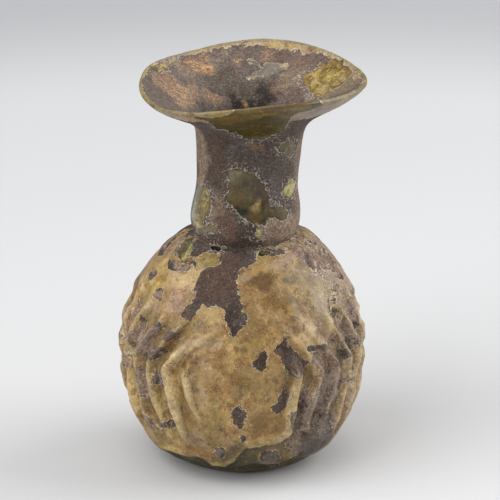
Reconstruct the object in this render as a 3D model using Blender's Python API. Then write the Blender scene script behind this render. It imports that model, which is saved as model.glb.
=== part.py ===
"""A Late Roman sprinkler flask of mould-blown glass, one hollow piece.

Metres, +Z up. The origin is the middle of the foot, on the surface that the
flask stands on. The middle of its front panel of nested ribs faces -Y.
"""

import math

import bmesh
import bpy

MM = 0.001

# Heights, each a length of its own, stacked from the foot to the lip
BELLY_HEIGHT = 30.5 * MM        # foot to the widest turn, where the ribs change their slant
SHOULDER_RISE = 27.9 * MM       # widest turn to the shoulder's edge, at the crease
CREASE_RISE = 0.5 * MM          # shoulder's edge up to the bottom of the crease
COLLAR_RISE = 4.6 * MM          # crease to the fullest turn of the collar
NECK_LOWER_RISE = 9.0 * MM      # collar to the narrowest turn of the neck
NECK_UPPER_RISE = 12.5 * MM     # narrowest turn to the start of the funnel
FUNNEL_DEPTH = 13.9 * MM        # start of the funnel to the top of the lip, on average

# Outer radii
FOOT_RADIUS = 14.9 * MM
BODY_RADIUS = 30.3 * MM         # between the ribs
SHOULDER_RADIUS = 14.8 * MM     # where the body's curve ends, just outside the crease
CREASE_RADIUS = 12.6 * MM
COLLAR_RADIUS = 13.8 * MM
NECK_RADIUS = 12.6 * MM         # narrowest turn
NECK_TOP_RADIUS = 13.3 * MM
FUNNEL_RADIUS = 28.8 * MM

# How full the body's curve is: 2 is an ellipse, more is squarer
LOWER_FULLNESS = 2.75
UPPER_FULLNESS = 1.95

# How far the funnel's curve runs straight at its two ends
FLARE_TURN = 6.6 * MM           # up from the neck before it opens
LIP_TURN_UP = 4.6 * MM          # below the lip, where it starts to turn up
LIP_TURN_IN = 3.4 * MM          # and how far inside the lip that is

# Glass thickness
BODY_WALL = 1.7 * MM
NECK_WALL = 1.6 * MM
LIP_THICKNESS = 1.3 * MM
FLOOR_THICKNESS = 2.4 * MM

# Underside: a flat ring to stand on round a low dome
FOOT_RING_WIDTH = 3.6 * MM
DOME_RISE = 1.5 * MM

# The pinched wall across the foot of the neck, with the hole that lets out drops
PINCH_THICKNESS = 2.2 * MM
HOLE_RADIUS = 3.1 * MM

# Nested ribs, in one panel on the front and one on the back
RIB_COUNT = 32
RIB_HEIGHT = 0.80 * MM
KNOB_HEIGHT = 0.35 * MM         # extra, at the corner that each rib turns at the belly
KNOB_LENGTH = 3.4 * MM
CORNER_ROUNDING = 1.6 * MM      # how softly a rib turns that corner
UPPER_LEAN = 1.75               # degrees round, towards the panel's middle, per mm of height
UPPER_LEAN_LENGTH = 13.0 * MM
LOWER_LEAN = 0.62
LOWER_LEAN_LENGTH = 14.0 * MM
RIB_TOP_LENGTH = 22.0 * MM      # above the belly, where the last trace of a rib ends
RIB_BOTTOM_LENGTH = 25.5 * MM   # below the belly
RIB_FADE = 9.0 * MM
WORN_HALF_ANGLE = 26.0          # degrees either side of a panel's middle
WORN_SHARE = 0.08               # what wear has left of the ribs there
BASE_ROLL_HEIGHT = 5.4 * MM     # the wavy roll that closes the pattern above the foot
BASE_ROLL_RELIEF = 0.45 * MM
BASE_ROLL_WIDTH = 1.8 * MM

# The mouth was worked by hand: it stands off the foot's axis, oval and wavy
MOUTH_SHIFT_RIGHT = 3.0 * MM
MOUTH_SHIFT_BACK = 1.0 * MM
RIM_OVAL = 1.45 * MM
RIM_OVAL_TURN = 57.0            # degrees round from +X to its long way
RIM_WAVES = (                   # peaks round the lip, height, degrees round to a peak
    (2, 1.20 * MM, 111.0),
    (3, 0.59 * MM, 55.0),
    (4, 0.48 * MM, -9.0),
)

# Facets
BODY_COLUMNS = 3 * RIB_COUNT    # a crest and two sides of its groove to each rib
NECK_COLUMNS = 48
INSIDE_COLUMNS = 32

BELLY = BELLY_HEIGHT
CREASE = BELLY + SHOULDER_RISE + CREASE_RISE
COLLAR = CREASE + COLLAR_RISE
NECK = COLLAR + NECK_LOWER_RISE
NECK_TOP = NECK + NECK_UPPER_RISE
RIM = NECK_TOP + FUNNEL_DEPTH


def steps(count):
    """Shares from 0 to 1 in even steps, both ends included."""
    return [step / count for step in range(count + 1)]


def clamp(value):
    return min(1.0, max(0.0, value))


def smooth(value):
    value = clamp(value)
    return value * value * (3.0 - 2.0 * value)


def body_curve(end_radius, rise, fullness, share):
    """A point of the body's curve and its outward normal, from the belly (0) to one end (1)."""
    end_turn = math.acos((end_radius / BODY_RADIUS) ** (fullness / 2.0))
    reach = rise / math.sin(end_turn) ** (2.0 / fullness)
    turn = end_turn * share
    radius = BODY_RADIUS * math.cos(turn) ** (2.0 / fullness)
    height = reach * math.sin(turn) ** (2.0 / fullness)
    normal_radius = (radius / BODY_RADIUS) ** (fullness - 1.0) / BODY_RADIUS
    normal_height = (height / abs(reach)) ** (fullness - 1.0) / abs(reach)
    length = math.hypot(normal_radius, normal_height)
    return radius, height, normal_radius / length, normal_height / length


def lower_body(share, inset=0.0):
    radius, drop, out, down = body_curve(FOOT_RADIUS, BELLY_HEIGHT, LOWER_FULLNESS, share)
    return radius - inset * out, BELLY - drop + inset * down


def upper_body(share, inset=0.0):
    radius, rise, out, up = body_curve(SHOULDER_RADIUS, SHOULDER_RISE, UPPER_FULLNESS, share)
    return radius - inset * out, BELLY + rise - inset * up


def neck_point(height):
    """Outer radius of the collar and the neck at a height."""
    if height < COLLAR:
        share = (height - CREASE) / COLLAR_RISE
        return CREASE_RADIUS + (COLLAR_RADIUS - CREASE_RADIUS) * math.sin(share * math.pi / 2.0)
    if height < NECK:
        return COLLAR_RADIUS + (NECK_RADIUS - COLLAR_RADIUS) * smooth((height - COLLAR) / NECK_LOWER_RISE)
    return NECK_RADIUS + (NECK_TOP_RADIUS - NECK_RADIUS) * smooth((height - NECK) / NECK_UPPER_RISE)


def funnel_point(share, inset=0.0):
    """A point of the funnel from the neck (0) to the lip (1), moved inwards by inset."""
    handles = (
        (NECK_TOP_RADIUS, NECK_TOP),
        (NECK_TOP_RADIUS, NECK_TOP + FLARE_TURN),
        (FUNNEL_RADIUS - LIP_TURN_IN, RIM - LIP_THICKNESS / 2.0 - LIP_TURN_UP),
        (FUNNEL_RADIUS, RIM - LIP_THICKNESS / 2.0),
    )
    rest = 1.0 - share
    weights = (rest ** 3, 3.0 * rest ** 2 * share, 3.0 * rest * share ** 2, share ** 3)
    radius, height = (sum(w * handle[axis] for w, handle in zip(weights, handles)) for axis in (0, 1))
    slopes = (rest ** 2, 2.0 * rest * share, share ** 2)
    ahead = [
        sum(s * (far[axis] - near[axis]) for s, near, far in zip(slopes, handles, handles[1:]))
        for axis in (0, 1)
    ]
    length = math.hypot(*ahead)
    return radius - inset * ahead[1] / length, height + inset * ahead[0] / length


def lip_points(count):
    """The round edge of the lip, from its outer side over to its inner side."""
    outer = funnel_point(1.0)
    inner = funnel_point(1.0, LIP_THICKNESS)
    middle = [(a + b) / 2.0 for a, b in zip(outer, inner)]
    across = [a - b for a, b in zip(outer, middle)]
    points = []
    for share in steps(count)[1:-1]:
        turn = math.pi * share
        points.append((
            middle[0] + across[0] * math.cos(turn) - across[1] * math.sin(turn),
            middle[1] + across[1] * math.cos(turn) + across[0] * math.sin(turn),
        ))
    return points


def underside_profile():
    ring_inside = FOOT_RADIUS - FOOT_RING_WIDTH
    return [
        (ring_inside * share, DOME_RISE * math.cos(share * math.pi / 2.0) ** 2)
        for share in steps(3)
    ]


def body_profile():
    lower = [lower_body(share) for share in reversed(steps(14))]
    upper = [upper_body(share) for share in steps(12)[1:]]
    return lower + upper


def mouth_profile():
    """Collar, neck and funnel outside, over the lip, and back down to the hole's underside."""
    outside = [CREASE + COLLAR_RISE * share for share in steps(3)]
    outside += [COLLAR + NECK_LOWER_RISE * share for share in steps(4)[1:]]
    outside += [NECK + NECK_UPPER_RISE * share for share in steps(2)[1:]]
    profile = [(neck_point(height), height) for height in outside]
    profile += [funnel_point(share) for share in steps(7)[1:]]
    profile += lip_points(4)
    for share in reversed(steps(6)):
        wall = NECK_WALL + (LIP_THICKNESS - NECK_WALL) * share
        profile.append(funnel_point(share, wall))
    shelf = CREASE + PINCH_THICKNESS / 2.0
    fillet = PINCH_THICKNESS
    inside = [NECK, COLLAR + NECK_LOWER_RISE / 2.0, COLLAR]
    profile += [(neck_point(height) - NECK_WALL, height) for height in inside]
    bore = COLLAR_RADIUS - NECK_WALL - (COLLAR_RADIUS - CREASE_RADIUS) / 2.0
    profile += [(bore, shelf + fillet), (bore - fillet * 0.3, shelf + fillet * 0.3), (bore - fillet, shelf)]
    for share in steps(3):
        turn = math.pi * (0.5 + share)
        profile.append((
            HOLE_RADIUS + PINCH_THICKNESS / 2.0 * (1.0 + math.cos(turn)),
            CREASE + PINCH_THICKNESS / 2.0 * math.sin(turn),
        ))
    return profile


def inside_profile():
    """The body's hollow, from under the pinched wall down to the middle of the floor."""
    profile = [upper_body(share, BODY_WALL) for share in reversed(steps(6)[1:])]
    profile += [lower_body(share, BODY_WALL) for share in steps(6)[:-1]]
    edge = lower_body(1.0, BODY_WALL)[0] - BODY_WALL
    floor = [(edge * share, FLOOR_THICKNESS + DOME_RISE * math.cos(share * math.pi / 2.0) ** 2)
             for share in reversed(steps(3))]
    return profile + floor


def turn_profile(mesh, profile, columns):
    """Spin a profile about the axis, and return the band's vertices and its two end loops."""
    before = set(mesh.verts)
    start = math.pi / columns
    line = [mesh.verts.new((r * math.sin(start), -r * math.cos(start), z)) for r, z in profile]
    edges = [mesh.edges.new(pair) for pair in zip(line, line[1:])]
    bmesh.ops.spin(
        mesh, geom=line + edges, cent=(0.0, 0.0, 0.0), axis=(0.0, 0.0, 1.0),
        angle=2.0 * math.pi, steps=columns, use_merge=True,
    )
    band = [vert for vert in mesh.verts if vert not in before]
    rims = [edge for edge in mesh.edges if edge.is_boundary and edge.verts[0] not in before]
    return band, rims


def loop_at(rims, point):
    """Of a band's boundary edges, those on the loop through a profile point."""
    return [edge for edge in rims
            if all(abs(math.hypot(v.co.x, v.co.y) - point[0]) < 1e-6 and abs(v.co.z - point[1]) < 1e-6
                   for v in edge.verts)]


def lean_at(height):
    """How many degrees a rib has leaned towards its panel's middle at a height."""
    along = math.hypot(height - BELLY, CORNER_ROUNDING) - CORNER_ROUNDING
    if height < BELLY:
        return LOWER_LEAN * min(along, LOWER_LEAN_LENGTH) / MM
    lean = UPPER_LEAN * min(along, UPPER_LEAN_LENGTH) / MM
    over_shoulder = smooth((height - BELLY - RIB_TOP_LENGTH) / (SHOULDER_RISE - RIB_TOP_LENGTH))
    return lean * (1.0 - over_shoulder)


def rib_relief(angle, turned, height):
    """How far a rib stands out, from its angle round at the belly, where it leans to, and its height."""
    pitch = 360.0 / RIB_COUNT
    from_crest = abs(angle % pitch - pitch / 2.0) / (pitch / 3.0)
    crest = 0.5 + 0.5 * math.cos(math.pi * min(1.0, from_crest))
    top = smooth((BELLY + RIB_TOP_LENGTH - height) / RIB_FADE)
    bottom = smooth((height - BELLY + RIB_BOTTOM_LENGTH) / RIB_FADE)
    from_middle = abs((turned + 90.0) % 180.0 - 90.0)
    worn = WORN_SHARE + (1.0 - WORN_SHARE) * smooth(2.0 * from_middle / WORN_HALF_ANGLE - 0.8)
    knob = KNOB_HEIGHT * math.exp(-(((height - BELLY) / KNOB_LENGTH) ** 2))
    roll = BASE_ROLL_RELIEF * math.exp(-(((height - BASE_ROLL_HEIGHT) / BASE_ROLL_WIDTH) ** 2))
    return crest * worn * (RIB_HEIGHT * top * bottom + knob) + roll


def raise_ribs(band):
    """Lean the body's columns along the ribs and raise the ribs on them."""
    for vert in band:
        radius = math.hypot(vert.co.x, vert.co.y)
        angle = math.degrees(math.atan2(vert.co.x, -vert.co.y))
        turned = angle - lean_at(vert.co.z) * math.sin(math.radians(2.0 * angle))
        if vert.co.z > MM / 10.0:
            radius += rib_relief(angle, turned, vert.co.z)
        vert.co.x = radius * math.sin(math.radians(turned))
        vert.co.y = -radius * math.cos(math.radians(turned))


def work_mouth(verts):
    """Make the funnel oval and its lip wavy, then carry the neck and mouth off the axis."""
    for vert in verts:
        worked = clamp((vert.co.z - NECK_TOP) / FUNNEL_DEPTH) ** 1.3
        round_from_right = math.atan2(vert.co.y, vert.co.x)
        oval = RIM_OVAL * math.cos(2.0 * (round_from_right - math.radians(RIM_OVAL_TURN)))
        stretch = 1.0 + worked * oval / FUNNEL_RADIUS
        shift = (max(0.0, vert.co.z) / RIM) ** 2.5
        vert.co.x = vert.co.x * stretch + MOUTH_SHIFT_RIGHT * shift
        vert.co.y = vert.co.y * stretch + MOUTH_SHIFT_BACK * shift
        for peaks, rise, turn in RIM_WAVES:
            vert.co.z += worked * rise * math.cos(peaks * (round_from_right - math.radians(turn)))


def weathered_glass():
    material = bpy.data.materials.new("weathered glass")
    material.use_nodes = True
    shader = material.node_tree.nodes["Principled BSDF"]
    shader.inputs["Base Color"].default_value = (0.27, 0.17, 0.075, 1.0)
    shader.inputs["Metallic"].default_value = 0.0
    shader.inputs["Roughness"].default_value = 0.38
    return material


def make_flask():
    mesh = bmesh.new()
    underside = underside_profile()
    body = body_profile()
    mouth = mouth_profile()
    inside = inside_profile()
    _, under_rims = turn_profile(mesh, underside, NECK_COLUMNS)
    body_band, body_rims = turn_profile(mesh, body, BODY_COLUMNS)
    _, mouth_rims = turn_profile(mesh, mouth, NECK_COLUMNS)
    _, inside_rims = turn_profile(mesh, inside, INSIDE_COLUMNS)
    joins = (
        loop_at(under_rims, underside[-1]) + loop_at(body_rims, body[0]),
        loop_at(body_rims, body[-1]) + loop_at(mouth_rims, mouth[0]),
        loop_at(mouth_rims, mouth[-1]) + loop_at(inside_rims, inside[0]),
    )
    for edges in joins:
        bmesh.ops.bridge_loops(mesh, edges=edges)
    raise_ribs(body_band)
    work_mouth(mesh.verts)
    bmesh.ops.remove_doubles(mesh, verts=mesh.verts, dist=0.00001)
    bmesh.ops.recalc_face_normals(mesh, faces=mesh.faces)
    bmesh.ops.triangulate(mesh, faces=mesh.faces, quad_method="SHORT_EDGE")
    data = bpy.data.meshes.new("flask")
    mesh.to_mesh(data)
    mesh.free()
    data.shade_smooth()
    data.materials.append(weathered_glass())
    flask = bpy.data.objects.new("flask", data)
    bpy.context.scene.collection.objects.link(flask)
    return flask


for old in list(bpy.data.objects):
    bpy.data.objects.remove(old, do_unlink=True)
make_flask()
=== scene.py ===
import math
import random

import bmesh
import bpy
import numpy as np
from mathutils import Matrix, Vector, noise
from mathutils.bvhtree import BVHTree


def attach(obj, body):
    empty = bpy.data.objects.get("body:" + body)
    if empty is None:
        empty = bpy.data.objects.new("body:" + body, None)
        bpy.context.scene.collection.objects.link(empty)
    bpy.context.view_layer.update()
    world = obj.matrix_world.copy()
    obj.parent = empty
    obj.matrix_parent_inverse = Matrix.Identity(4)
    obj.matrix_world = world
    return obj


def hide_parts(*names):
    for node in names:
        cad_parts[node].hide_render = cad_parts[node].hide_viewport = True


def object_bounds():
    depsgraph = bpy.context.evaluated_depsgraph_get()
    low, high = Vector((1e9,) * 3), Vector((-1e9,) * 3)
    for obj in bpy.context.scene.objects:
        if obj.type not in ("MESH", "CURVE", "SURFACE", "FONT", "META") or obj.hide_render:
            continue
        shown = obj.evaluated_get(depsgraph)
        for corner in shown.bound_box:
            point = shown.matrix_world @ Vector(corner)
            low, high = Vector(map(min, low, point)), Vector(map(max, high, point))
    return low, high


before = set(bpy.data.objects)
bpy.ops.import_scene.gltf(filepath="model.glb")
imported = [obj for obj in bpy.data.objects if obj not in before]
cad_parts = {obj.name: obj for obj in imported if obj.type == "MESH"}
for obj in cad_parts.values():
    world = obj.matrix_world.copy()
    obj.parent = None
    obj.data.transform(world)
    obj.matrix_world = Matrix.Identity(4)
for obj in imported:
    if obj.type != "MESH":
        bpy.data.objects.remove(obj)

cadLow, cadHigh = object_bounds()
print("frame loaded")

# The flask's turned profile and its relief, in mm and degrees. A span of four numbers is where
# something starts, is full, begins to fade and ends.
flaskForm = {
    "bellyHeight": 30.5, "bellyRadius": 30.3,
    "footRadius": 14.9, "shoulderRadius": 14.8, "shoulderRise": 27.9,
    "lowerFullness": 2.75, "upperFullness": 1.95,
    "creaseHeight": 58.9, "rimHeight": 98.9,
    "mouthRight": 3.0, "mouthBack": 1.0, "mouthBend": 2.5,
    # nested ribs, one panel on the front and one on the back
    "ribCount": 32, "ribHeight": 0.82, "ribHalfShare": 1.0 / 3.0,
    "knobHeight": 0.35, "knobLength": 3.4, "cornerRounding": 1.6,
    "upperLean": 1.75, "upperLeanLength": 13.0, "lowerLean": 0.62, "lowerLeanLength": 14.0,
    "ribTop": 22.0, "topFade": 16.0, "ribBottom": 25.5, "ribFade": 9.0, "frontFade": 5.0,
    # worn flat in the middle of each panel, and softer on the front's right
    "wornHalfAngle": 26.0, "wornStart": 0.8, "wornShare": 0.08,
    "frontMiddle": -2.0, "frontWorn": (18.0, 32.0),
    "softRight": 0.7, "softSpan": (12.0, 24.0, 44.0, 56.0), "softRise": 6.0,
    "grooveDepth": 1.75, "unevenness": (0.6, 5.0, 8), "unevenLimits": (0.25, 1.05),
    "rollHeight": 5.4, "rollRelief": 0.45, "rollWidth": 1.8,
    # the ribs sway: (degrees, mm across, seed) at the radius given
    "sway": ((1.9, 8.0, 9), (0.9, 3.5, 10)), "swayRadius": 30.0, "swayLeastRadius": 12.0,
    # a fold low down on the front, where the wall was pushed in under it: (degrees round, mm up)
    "fold": [(-62, 5.6), (-46, 6.8), (-38, 6.8), (-31, 7.2), (-24, 7.6), (-19, 6.8), (-16, 5.8), (-10, 5.6),
             (-4.5, 7.2), (-0.8, 10.0), (3, 12.4), (12, 13.6), (20, 14.0), (26, 15.5), (34, 15.5),
             (48, 10.0), (60, 6.0)],
    "foldSpan": (-60.0, -50.0, 38.0, 48.0), "foldHeight": 0.95, "foldRise": 0.6, "foldWidth": 1.0,
    "foldDepth": 2.3, "underEdge": (-0.1, 0.8), "foldFoot": (0.6, 4.0),
    # the body's relief ends at its foot and its crease
    "keepFoot": (0.2, 1.4), "keepCrease": (57.0, 58.3), "mouthRelief": 0.35, "footRelief": (0.1, 1.5),
    # inside, the wall follows the fold and the ribs
    "innerHeights": (1.0, 57.0), "innerRadius": 16.0, "innerRibs": 0.6,
    # hand-made unevenness, (mm high, mm across, seed), a little calmer on the outline seen from the front
    "dents": ((0.35, 9.0, 5), (0.34, 4.4, 6), (0.10, 2.0, 7)),
    "calmShare": 0.15, "calmTurn": 98.0, "calmWidth": 16.0,
    # dents where ribs run over the outline and notch it
    "sideDent": (1.7, 2.9, 27), "sideDentStart": 0.15, "sideDentDepth": 0.75,
    "sideTurns": (60.0, 80.0, 104.0, 120.0), "sideHeights": (8.0, 14.0, 40.0, 46.0),
    "ridgeLift": 1.25, "ridgeFull": 0.8, "ridgeEnds": (-0.12, 0.22), "mmPerDegree": 0.5,
    # the crust stands up over the film, and bare panes lie lower
    "crustHeight": 0.16, "crustRise": (-0.1, 0.35), "neckCrustShare": 0.4, "neckFrom": 58.0,
    "paneDepth": 0.10, "paneRise": (-0.2, 0.3), "skinFrom": 1.5,
}

# Ridges that stand alone on the worn panel: (degrees round, mm up) along each, height, half width
flaskRidges = [
    ([(-37.9, 31.2), (-28.0, 36.6), (-17.9, 41.2), (-11.0, 42.6)], 0.75, 1.3),
    ([(-37.9, 31.2), (-34.5, 25.0), (-31.7, 18.9), (-28.5, 13.0)], 0.80, 1.2),
    ([(-28.8, 31.7), (-26.0, 28.5), (-24.7, 25.0), (-21.5, 21.0), (-17.5, 17.4)], 0.70, 1.1),
    ([(-18.6, 26.6), (-17.2, 24.0), (-17.4, 20.5)], 0.40, 0.9),
    ([(-30.0, 33.5), (-17.0, 38.0), (-8.0, 38.4), (0.0, 35.6)], 0.35, 1.4),
    ([(25.9, 29.4), (23.4, 22.0), (22.1, 16.2), (15.5, 13.2), (7.0, 12.6), (-2.0, 13.6)], 0.75, 1.1),
    ([(33.5, 40.9), (30.0, 45.0), (24.0, 49.0)], 0.30, 1.3),
    ([(33.5, 40.9), (26.0, 38.0), (20.0, 33.0)], 0.25, 1.3),
    ([(48.6, 47.0), (49.8, 42.4), (46.6, 37.6)], 0.45, 0.9),
    ([(-50.0, 45.0), (-38.0, 47.5), (-28.0, 46.0)], 0.22, 1.9),
    ([(-48.0, 4.0), (-36.0, 5.6), (-24.5, 6.3), (-16.0, 4.9), (-9.5, 4.4), (0.0, 5.6), (12.1, 6.3),
      (24.0, 5.4), (40.0, 6.0)], 0.75, 1.1),
]

random.seed(11)


def shareOf(value, low, high):  # 0 at low, 1 at high, smooth between them
    ratio = np.clip((value - low) / (high - low), 0.0, 1.0)
    return ratio * ratio * (3.0 - 2.0 * ratio)


def spanOf(value, span):
    start, full, fade, end = span
    return shareOf(value, start, full) * shareOf(value, end, fade)


def bellOf(value, middle, width):
    return np.exp(-(((value - middle) / width) ** 2))


def turnedBy(a, b):  # degrees from b round to a, -180 to 180
    return (a - b + 180.0) % 360.0 - 180.0


def makeActive(piece):
    if bpy.context.mode != "OBJECT":
        bpy.ops.object.mode_set(mode="OBJECT")
    bpy.ops.object.select_all(action="DESELECT")
    piece.select_set(True)
    bpy.context.view_layer.objects.active = piece


def leanAt(height):  # degrees that a rib has leaned towards its panel's middle
    form = flaskForm
    rise = height - form["bellyHeight"]
    along = np.hypot(rise, form["cornerRounding"]) - form["cornerRounding"]
    low = form["lowerLean"] * np.minimum(along, form["lowerLeanLength"])
    high = form["upperLean"] * np.minimum(along, form["upperLeanLength"])
    high = high * (1.0 - shareOf(rise, form["ribTop"], form["shoulderRise"]))
    return np.where(rise < 0.0, low, high)


def straighten(turned, height):  # degrees round that a rib has at the belly, found step by step
    lean = leanAt(height)
    angle = turned.copy()
    for _ in range(60):
        angle = 0.5 * angle + 0.5 * (turned + lean * np.sin(np.radians(2.0 * angle)))
    return angle


def bodyRadius(height):  # the smooth body between its ribs
    form = flaskForm
    rise = height - form["bellyHeight"]
    radius = np.zeros_like(height)
    for below, end, reachTo, fullness in (
        (True, form["footRadius"], form["bellyHeight"], form["lowerFullness"]),
        (False, form["shoulderRadius"], form["shoulderRise"], form["upperFullness"]),
    ):
        turn = math.acos((end / form["bellyRadius"]) ** (fullness / 2.0))
        reach = reachTo / math.sin(turn) ** (2.0 / fullness)
        inside = np.clip(1.0 - (np.abs(rise) / reach) ** fullness, 1e-6, 1.0)
        curve = form["bellyRadius"] * inside ** (1.0 / fullness)
        radius = np.where((rise < 0.0) == below, curve, radius)
    return radius


def ribRelief(turned, height):  # the ribs' height in mm, how near their crests, and how ribbed it is
    form = flaskForm
    rise = height - form["bellyHeight"]
    atFront = np.abs(turned) < 90.0
    pitch = 360.0 / form["ribCount"]
    fromCrest = np.abs(straighten(turned, height) % pitch - pitch / 2.0) / (pitch * form["ribHalfShare"])
    crest = 0.5 + 0.5 * np.cos(math.pi * np.minimum(1.0, fromCrest))
    top = shareOf(form["ribTop"] - rise, 0.0, form["topFade"])
    bottom = shareOf(rise + form["ribBottom"], 0.0, form["ribFade"] + form["frontFade"] * atFront)
    fromMiddle = np.abs((turned + 90.0) % 180.0 - 90.0)
    full = shareOf(2.0 * fromMiddle / form["wornHalfAngle"] - form["wornStart"], 0.0, 1.0)
    full = np.where(atFront, full * shareOf(np.abs(turned - form["frontMiddle"]), *form["frontWorn"]), full)
    full = form["wornShare"] + (1.0 - form["wornShare"]) * full
    soft = spanOf(turned, form["softSpan"]) * shareOf(rise, 0.0, form["softRise"])
    full = full * (1.0 - form["softRight"] * soft)
    knob = form["knobHeight"] * bellOf(rise, 0.0, form["knobLength"])
    roll = form["rollRelief"] * bellOf(height, form["rollHeight"], form["rollWidth"])
    ribbed = full * top * bottom
    return crest * full * (form["ribHeight"] * top * bottom + knob) + roll, crest * ribbed, ribbed


def offAxis(points):  # mm right and back of the flask's own axis, which bends towards its mouth
    shift = (np.maximum(points[:, 2], 0.0) / flaskForm["rimHeight"]) ** flaskForm["mouthBend"]
    return points[:, 0] - flaskForm["mouthRight"] * shift, points[:, 1] - flaskForm["mouthBack"] * shift


def roundAt(right, back):  # degrees round from the front, to the right
    return np.degrees(np.arctan2(right, -back))


seedSteps = (17.3, 5.1, 9.7)  # how far apart in the noise two seeds next to each other are


def wander(points, size, seed):  # smooth noise in -1..1 at each point, about size mm across
    offset = Vector([seed * step for step in seedSteps])
    return np.array([noise.noise(Vector(p) / size + offset) for p in points])


def readPoints(mesh):
    flat = np.empty(len(mesh.vertices) * 3, np.float32)
    mesh.vertices.foreach_get("co", flat)
    return flat.reshape(-1, 3).astype(float) * 1000.0


def readNormals(mesh):
    flat = np.empty(len(mesh.vertices) * 3, np.float32)
    mesh.vertex_normals.foreach_get("vector", flat)
    return flat.reshape(-1, 3).astype(float)


def writePoints(mesh, points):
    mesh.vertices.foreach_set("co", (points / 1000.0).astype(np.float32).ravel())
    mesh.update()


# How the solid is made finer and told apart, in mm and degrees
flaskMesh = {
    "weldGap": 0.01, "bodySkin": 0.8, "bodyTop": 58.45,
    "diagonalTurn": 1.2, "diagonalRise": 0.05, "quadAngle": 50.0,
    "creaseHeights": (58.3, 59.0), "creaseFrom": 11.5, "footTop": 0.02, "footFrom": 10.5, "crispness": 0.7,
    "finerLevels": 2,
    # once it is finer: where its body, the outside of its neck, its foot and its funnel are
    "finerSkin": 0.85, "finerTop": 58.6, "neckFrom": 58.3, "neckOuterFrom": 11.9,
    "underFoot": 0.3, "mouthWithin": 30.0,
    # a level surface counts as this steep at least, and the funnel is this much longer than its plan
    "leastSteepness": 0.25, "funnelSlope": 1.25,
}

# The flask's visible form starts as a merged copy of its solid
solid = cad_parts["flask"].data
flask = bpy.data.objects.new("weathered_flask", solid.copy())
bpy.context.scene.collection.objects.link(flask)
flask.data.materials.clear()
makeActive(flask)
bpy.ops.object.mode_set(mode="EDIT")
bpy.ops.mesh.select_all(action="SELECT")
bpy.ops.mesh.remove_doubles(threshold=flaskMesh["weldGap"] / 1000.0)
bpy.ops.mesh.normals_make_consistent(inside=False)
bpy.ops.mesh.select_mode(type="EDGE")
bpy.ops.mesh.select_all(action="DESELECT")
bpy.ops.object.mode_set(mode="OBJECT")
print("solid copied:", len(flask.data.vertices), "points")

points = readPoints(flask.data)
right, back = offAxis(points)
away = np.hypot(right, back)
onBody = (away > bodyRadius(points[:, 2]) - flaskMesh["bodySkin"]) & (points[:, 2] < flaskMesh["bodyTop"])
column = straighten(roundAt(right, back), points[:, 2])
for edge in flask.data.edges:  # across the ribs' facets, so that these are four-sided again
    a, b = edge.vertices
    if onBody[a] and onBody[b]:
        turns = abs(turnedBy(column[a], column[b])) > flaskMesh["diagonalTurn"]
        edge.select = bool(turns and abs(points[a, 2] - points[b, 2]) > flaskMesh["diagonalRise"])
bpy.ops.object.mode_set(mode="EDIT")
bpy.ops.mesh.dissolve_edges(use_verts=False)
bpy.ops.mesh.select_all(action="SELECT")
quadAngle = math.radians(flaskMesh["quadAngle"])
bpy.ops.mesh.tris_convert_to_quads(face_threshold=quadAngle, shape_threshold=quadAngle)
bpy.ops.mesh.select_all(action="DESELECT")
bpy.ops.object.mode_set(mode="OBJECT")
for edge in flask.data.edges:  # the folded crease and the foot's edge stay crisp
    heights = [points[end, 2] for end in edge.vertices]
    nearest = min(away[end] for end in edge.vertices)
    creaseLow, creaseHigh = flaskMesh["creaseHeights"]
    atCrease = min(heights) > creaseLow and max(heights) < creaseHigh and nearest > flaskMesh["creaseFrom"]
    atFoot = max(heights) < flaskMesh["footTop"] and nearest > flaskMesh["footFrom"]
    edge.select = bool(atCrease or atFoot)
bpy.ops.object.mode_set(mode="EDIT")
bpy.ops.transform.edge_crease(value=flaskMesh["crispness"])
bpy.ops.object.mode_set(mode="OBJECT")
fourSided = sum(len(face.vertices) == 4 for face in flask.data.polygons)
print("faces:", len(flask.data.polygons), "of which four-sided:", fourSided)
smoother = flask.modifiers.new("finer", "SUBSURF")
smoother.levels = smoother.render_levels = flaskMesh["finerLevels"]
makeActive(flask)
bpy.ops.object.modifier_apply(modifier="finer")
bpy.ops.object.shade_smooth()
print("smoothed:", len(flask.data.vertices), "points")

points = readPoints(flask.data)
normals = readNormals(flask.data)
right, back = offAxis(points)
height = points[:, 2]
radius = np.hypot(right, back)
azimuth = roundAt(right, back)
facing = normals[:, 0] * right + normals[:, 1] * back
isBody = (height < flaskMesh["finerTop"]) & (radius > bodyRadius(height) - flaskMesh["finerSkin"])
isNeck = (height >= flaskMesh["neckFrom"]) & (radius > flaskMesh["neckOuterFrom"]) & (facing > 0.0)
isOutside = isBody | isNeck | (height < flaskMesh["underFoot"])
inMouth = ~isOutside & (height > flaskForm["creaseHeight"]) & (radius < flaskMesh["mouthWithin"])
# A point's own scale: how many mm along the surface one degree round, one mm up and one mm of plan are
alongRound = np.radians(1.0) * radius
alongUp = 1.0 / np.clip(np.hypot(normals[:, 0], normals[:, 1]), flaskMesh["leastSteepness"], 1.0)
alongPlan = np.full(len(points), flaskMesh["funnelSlope"])
farOff = 6.0  # mm from an outline, beyond which a distance isn't told


def wavering(*layers):  # smooth noise over the flask, each layer given as (height, mm across, seed)
    return sum(amount * wander(points, size, seed) for amount, size, seed in layers)


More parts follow.
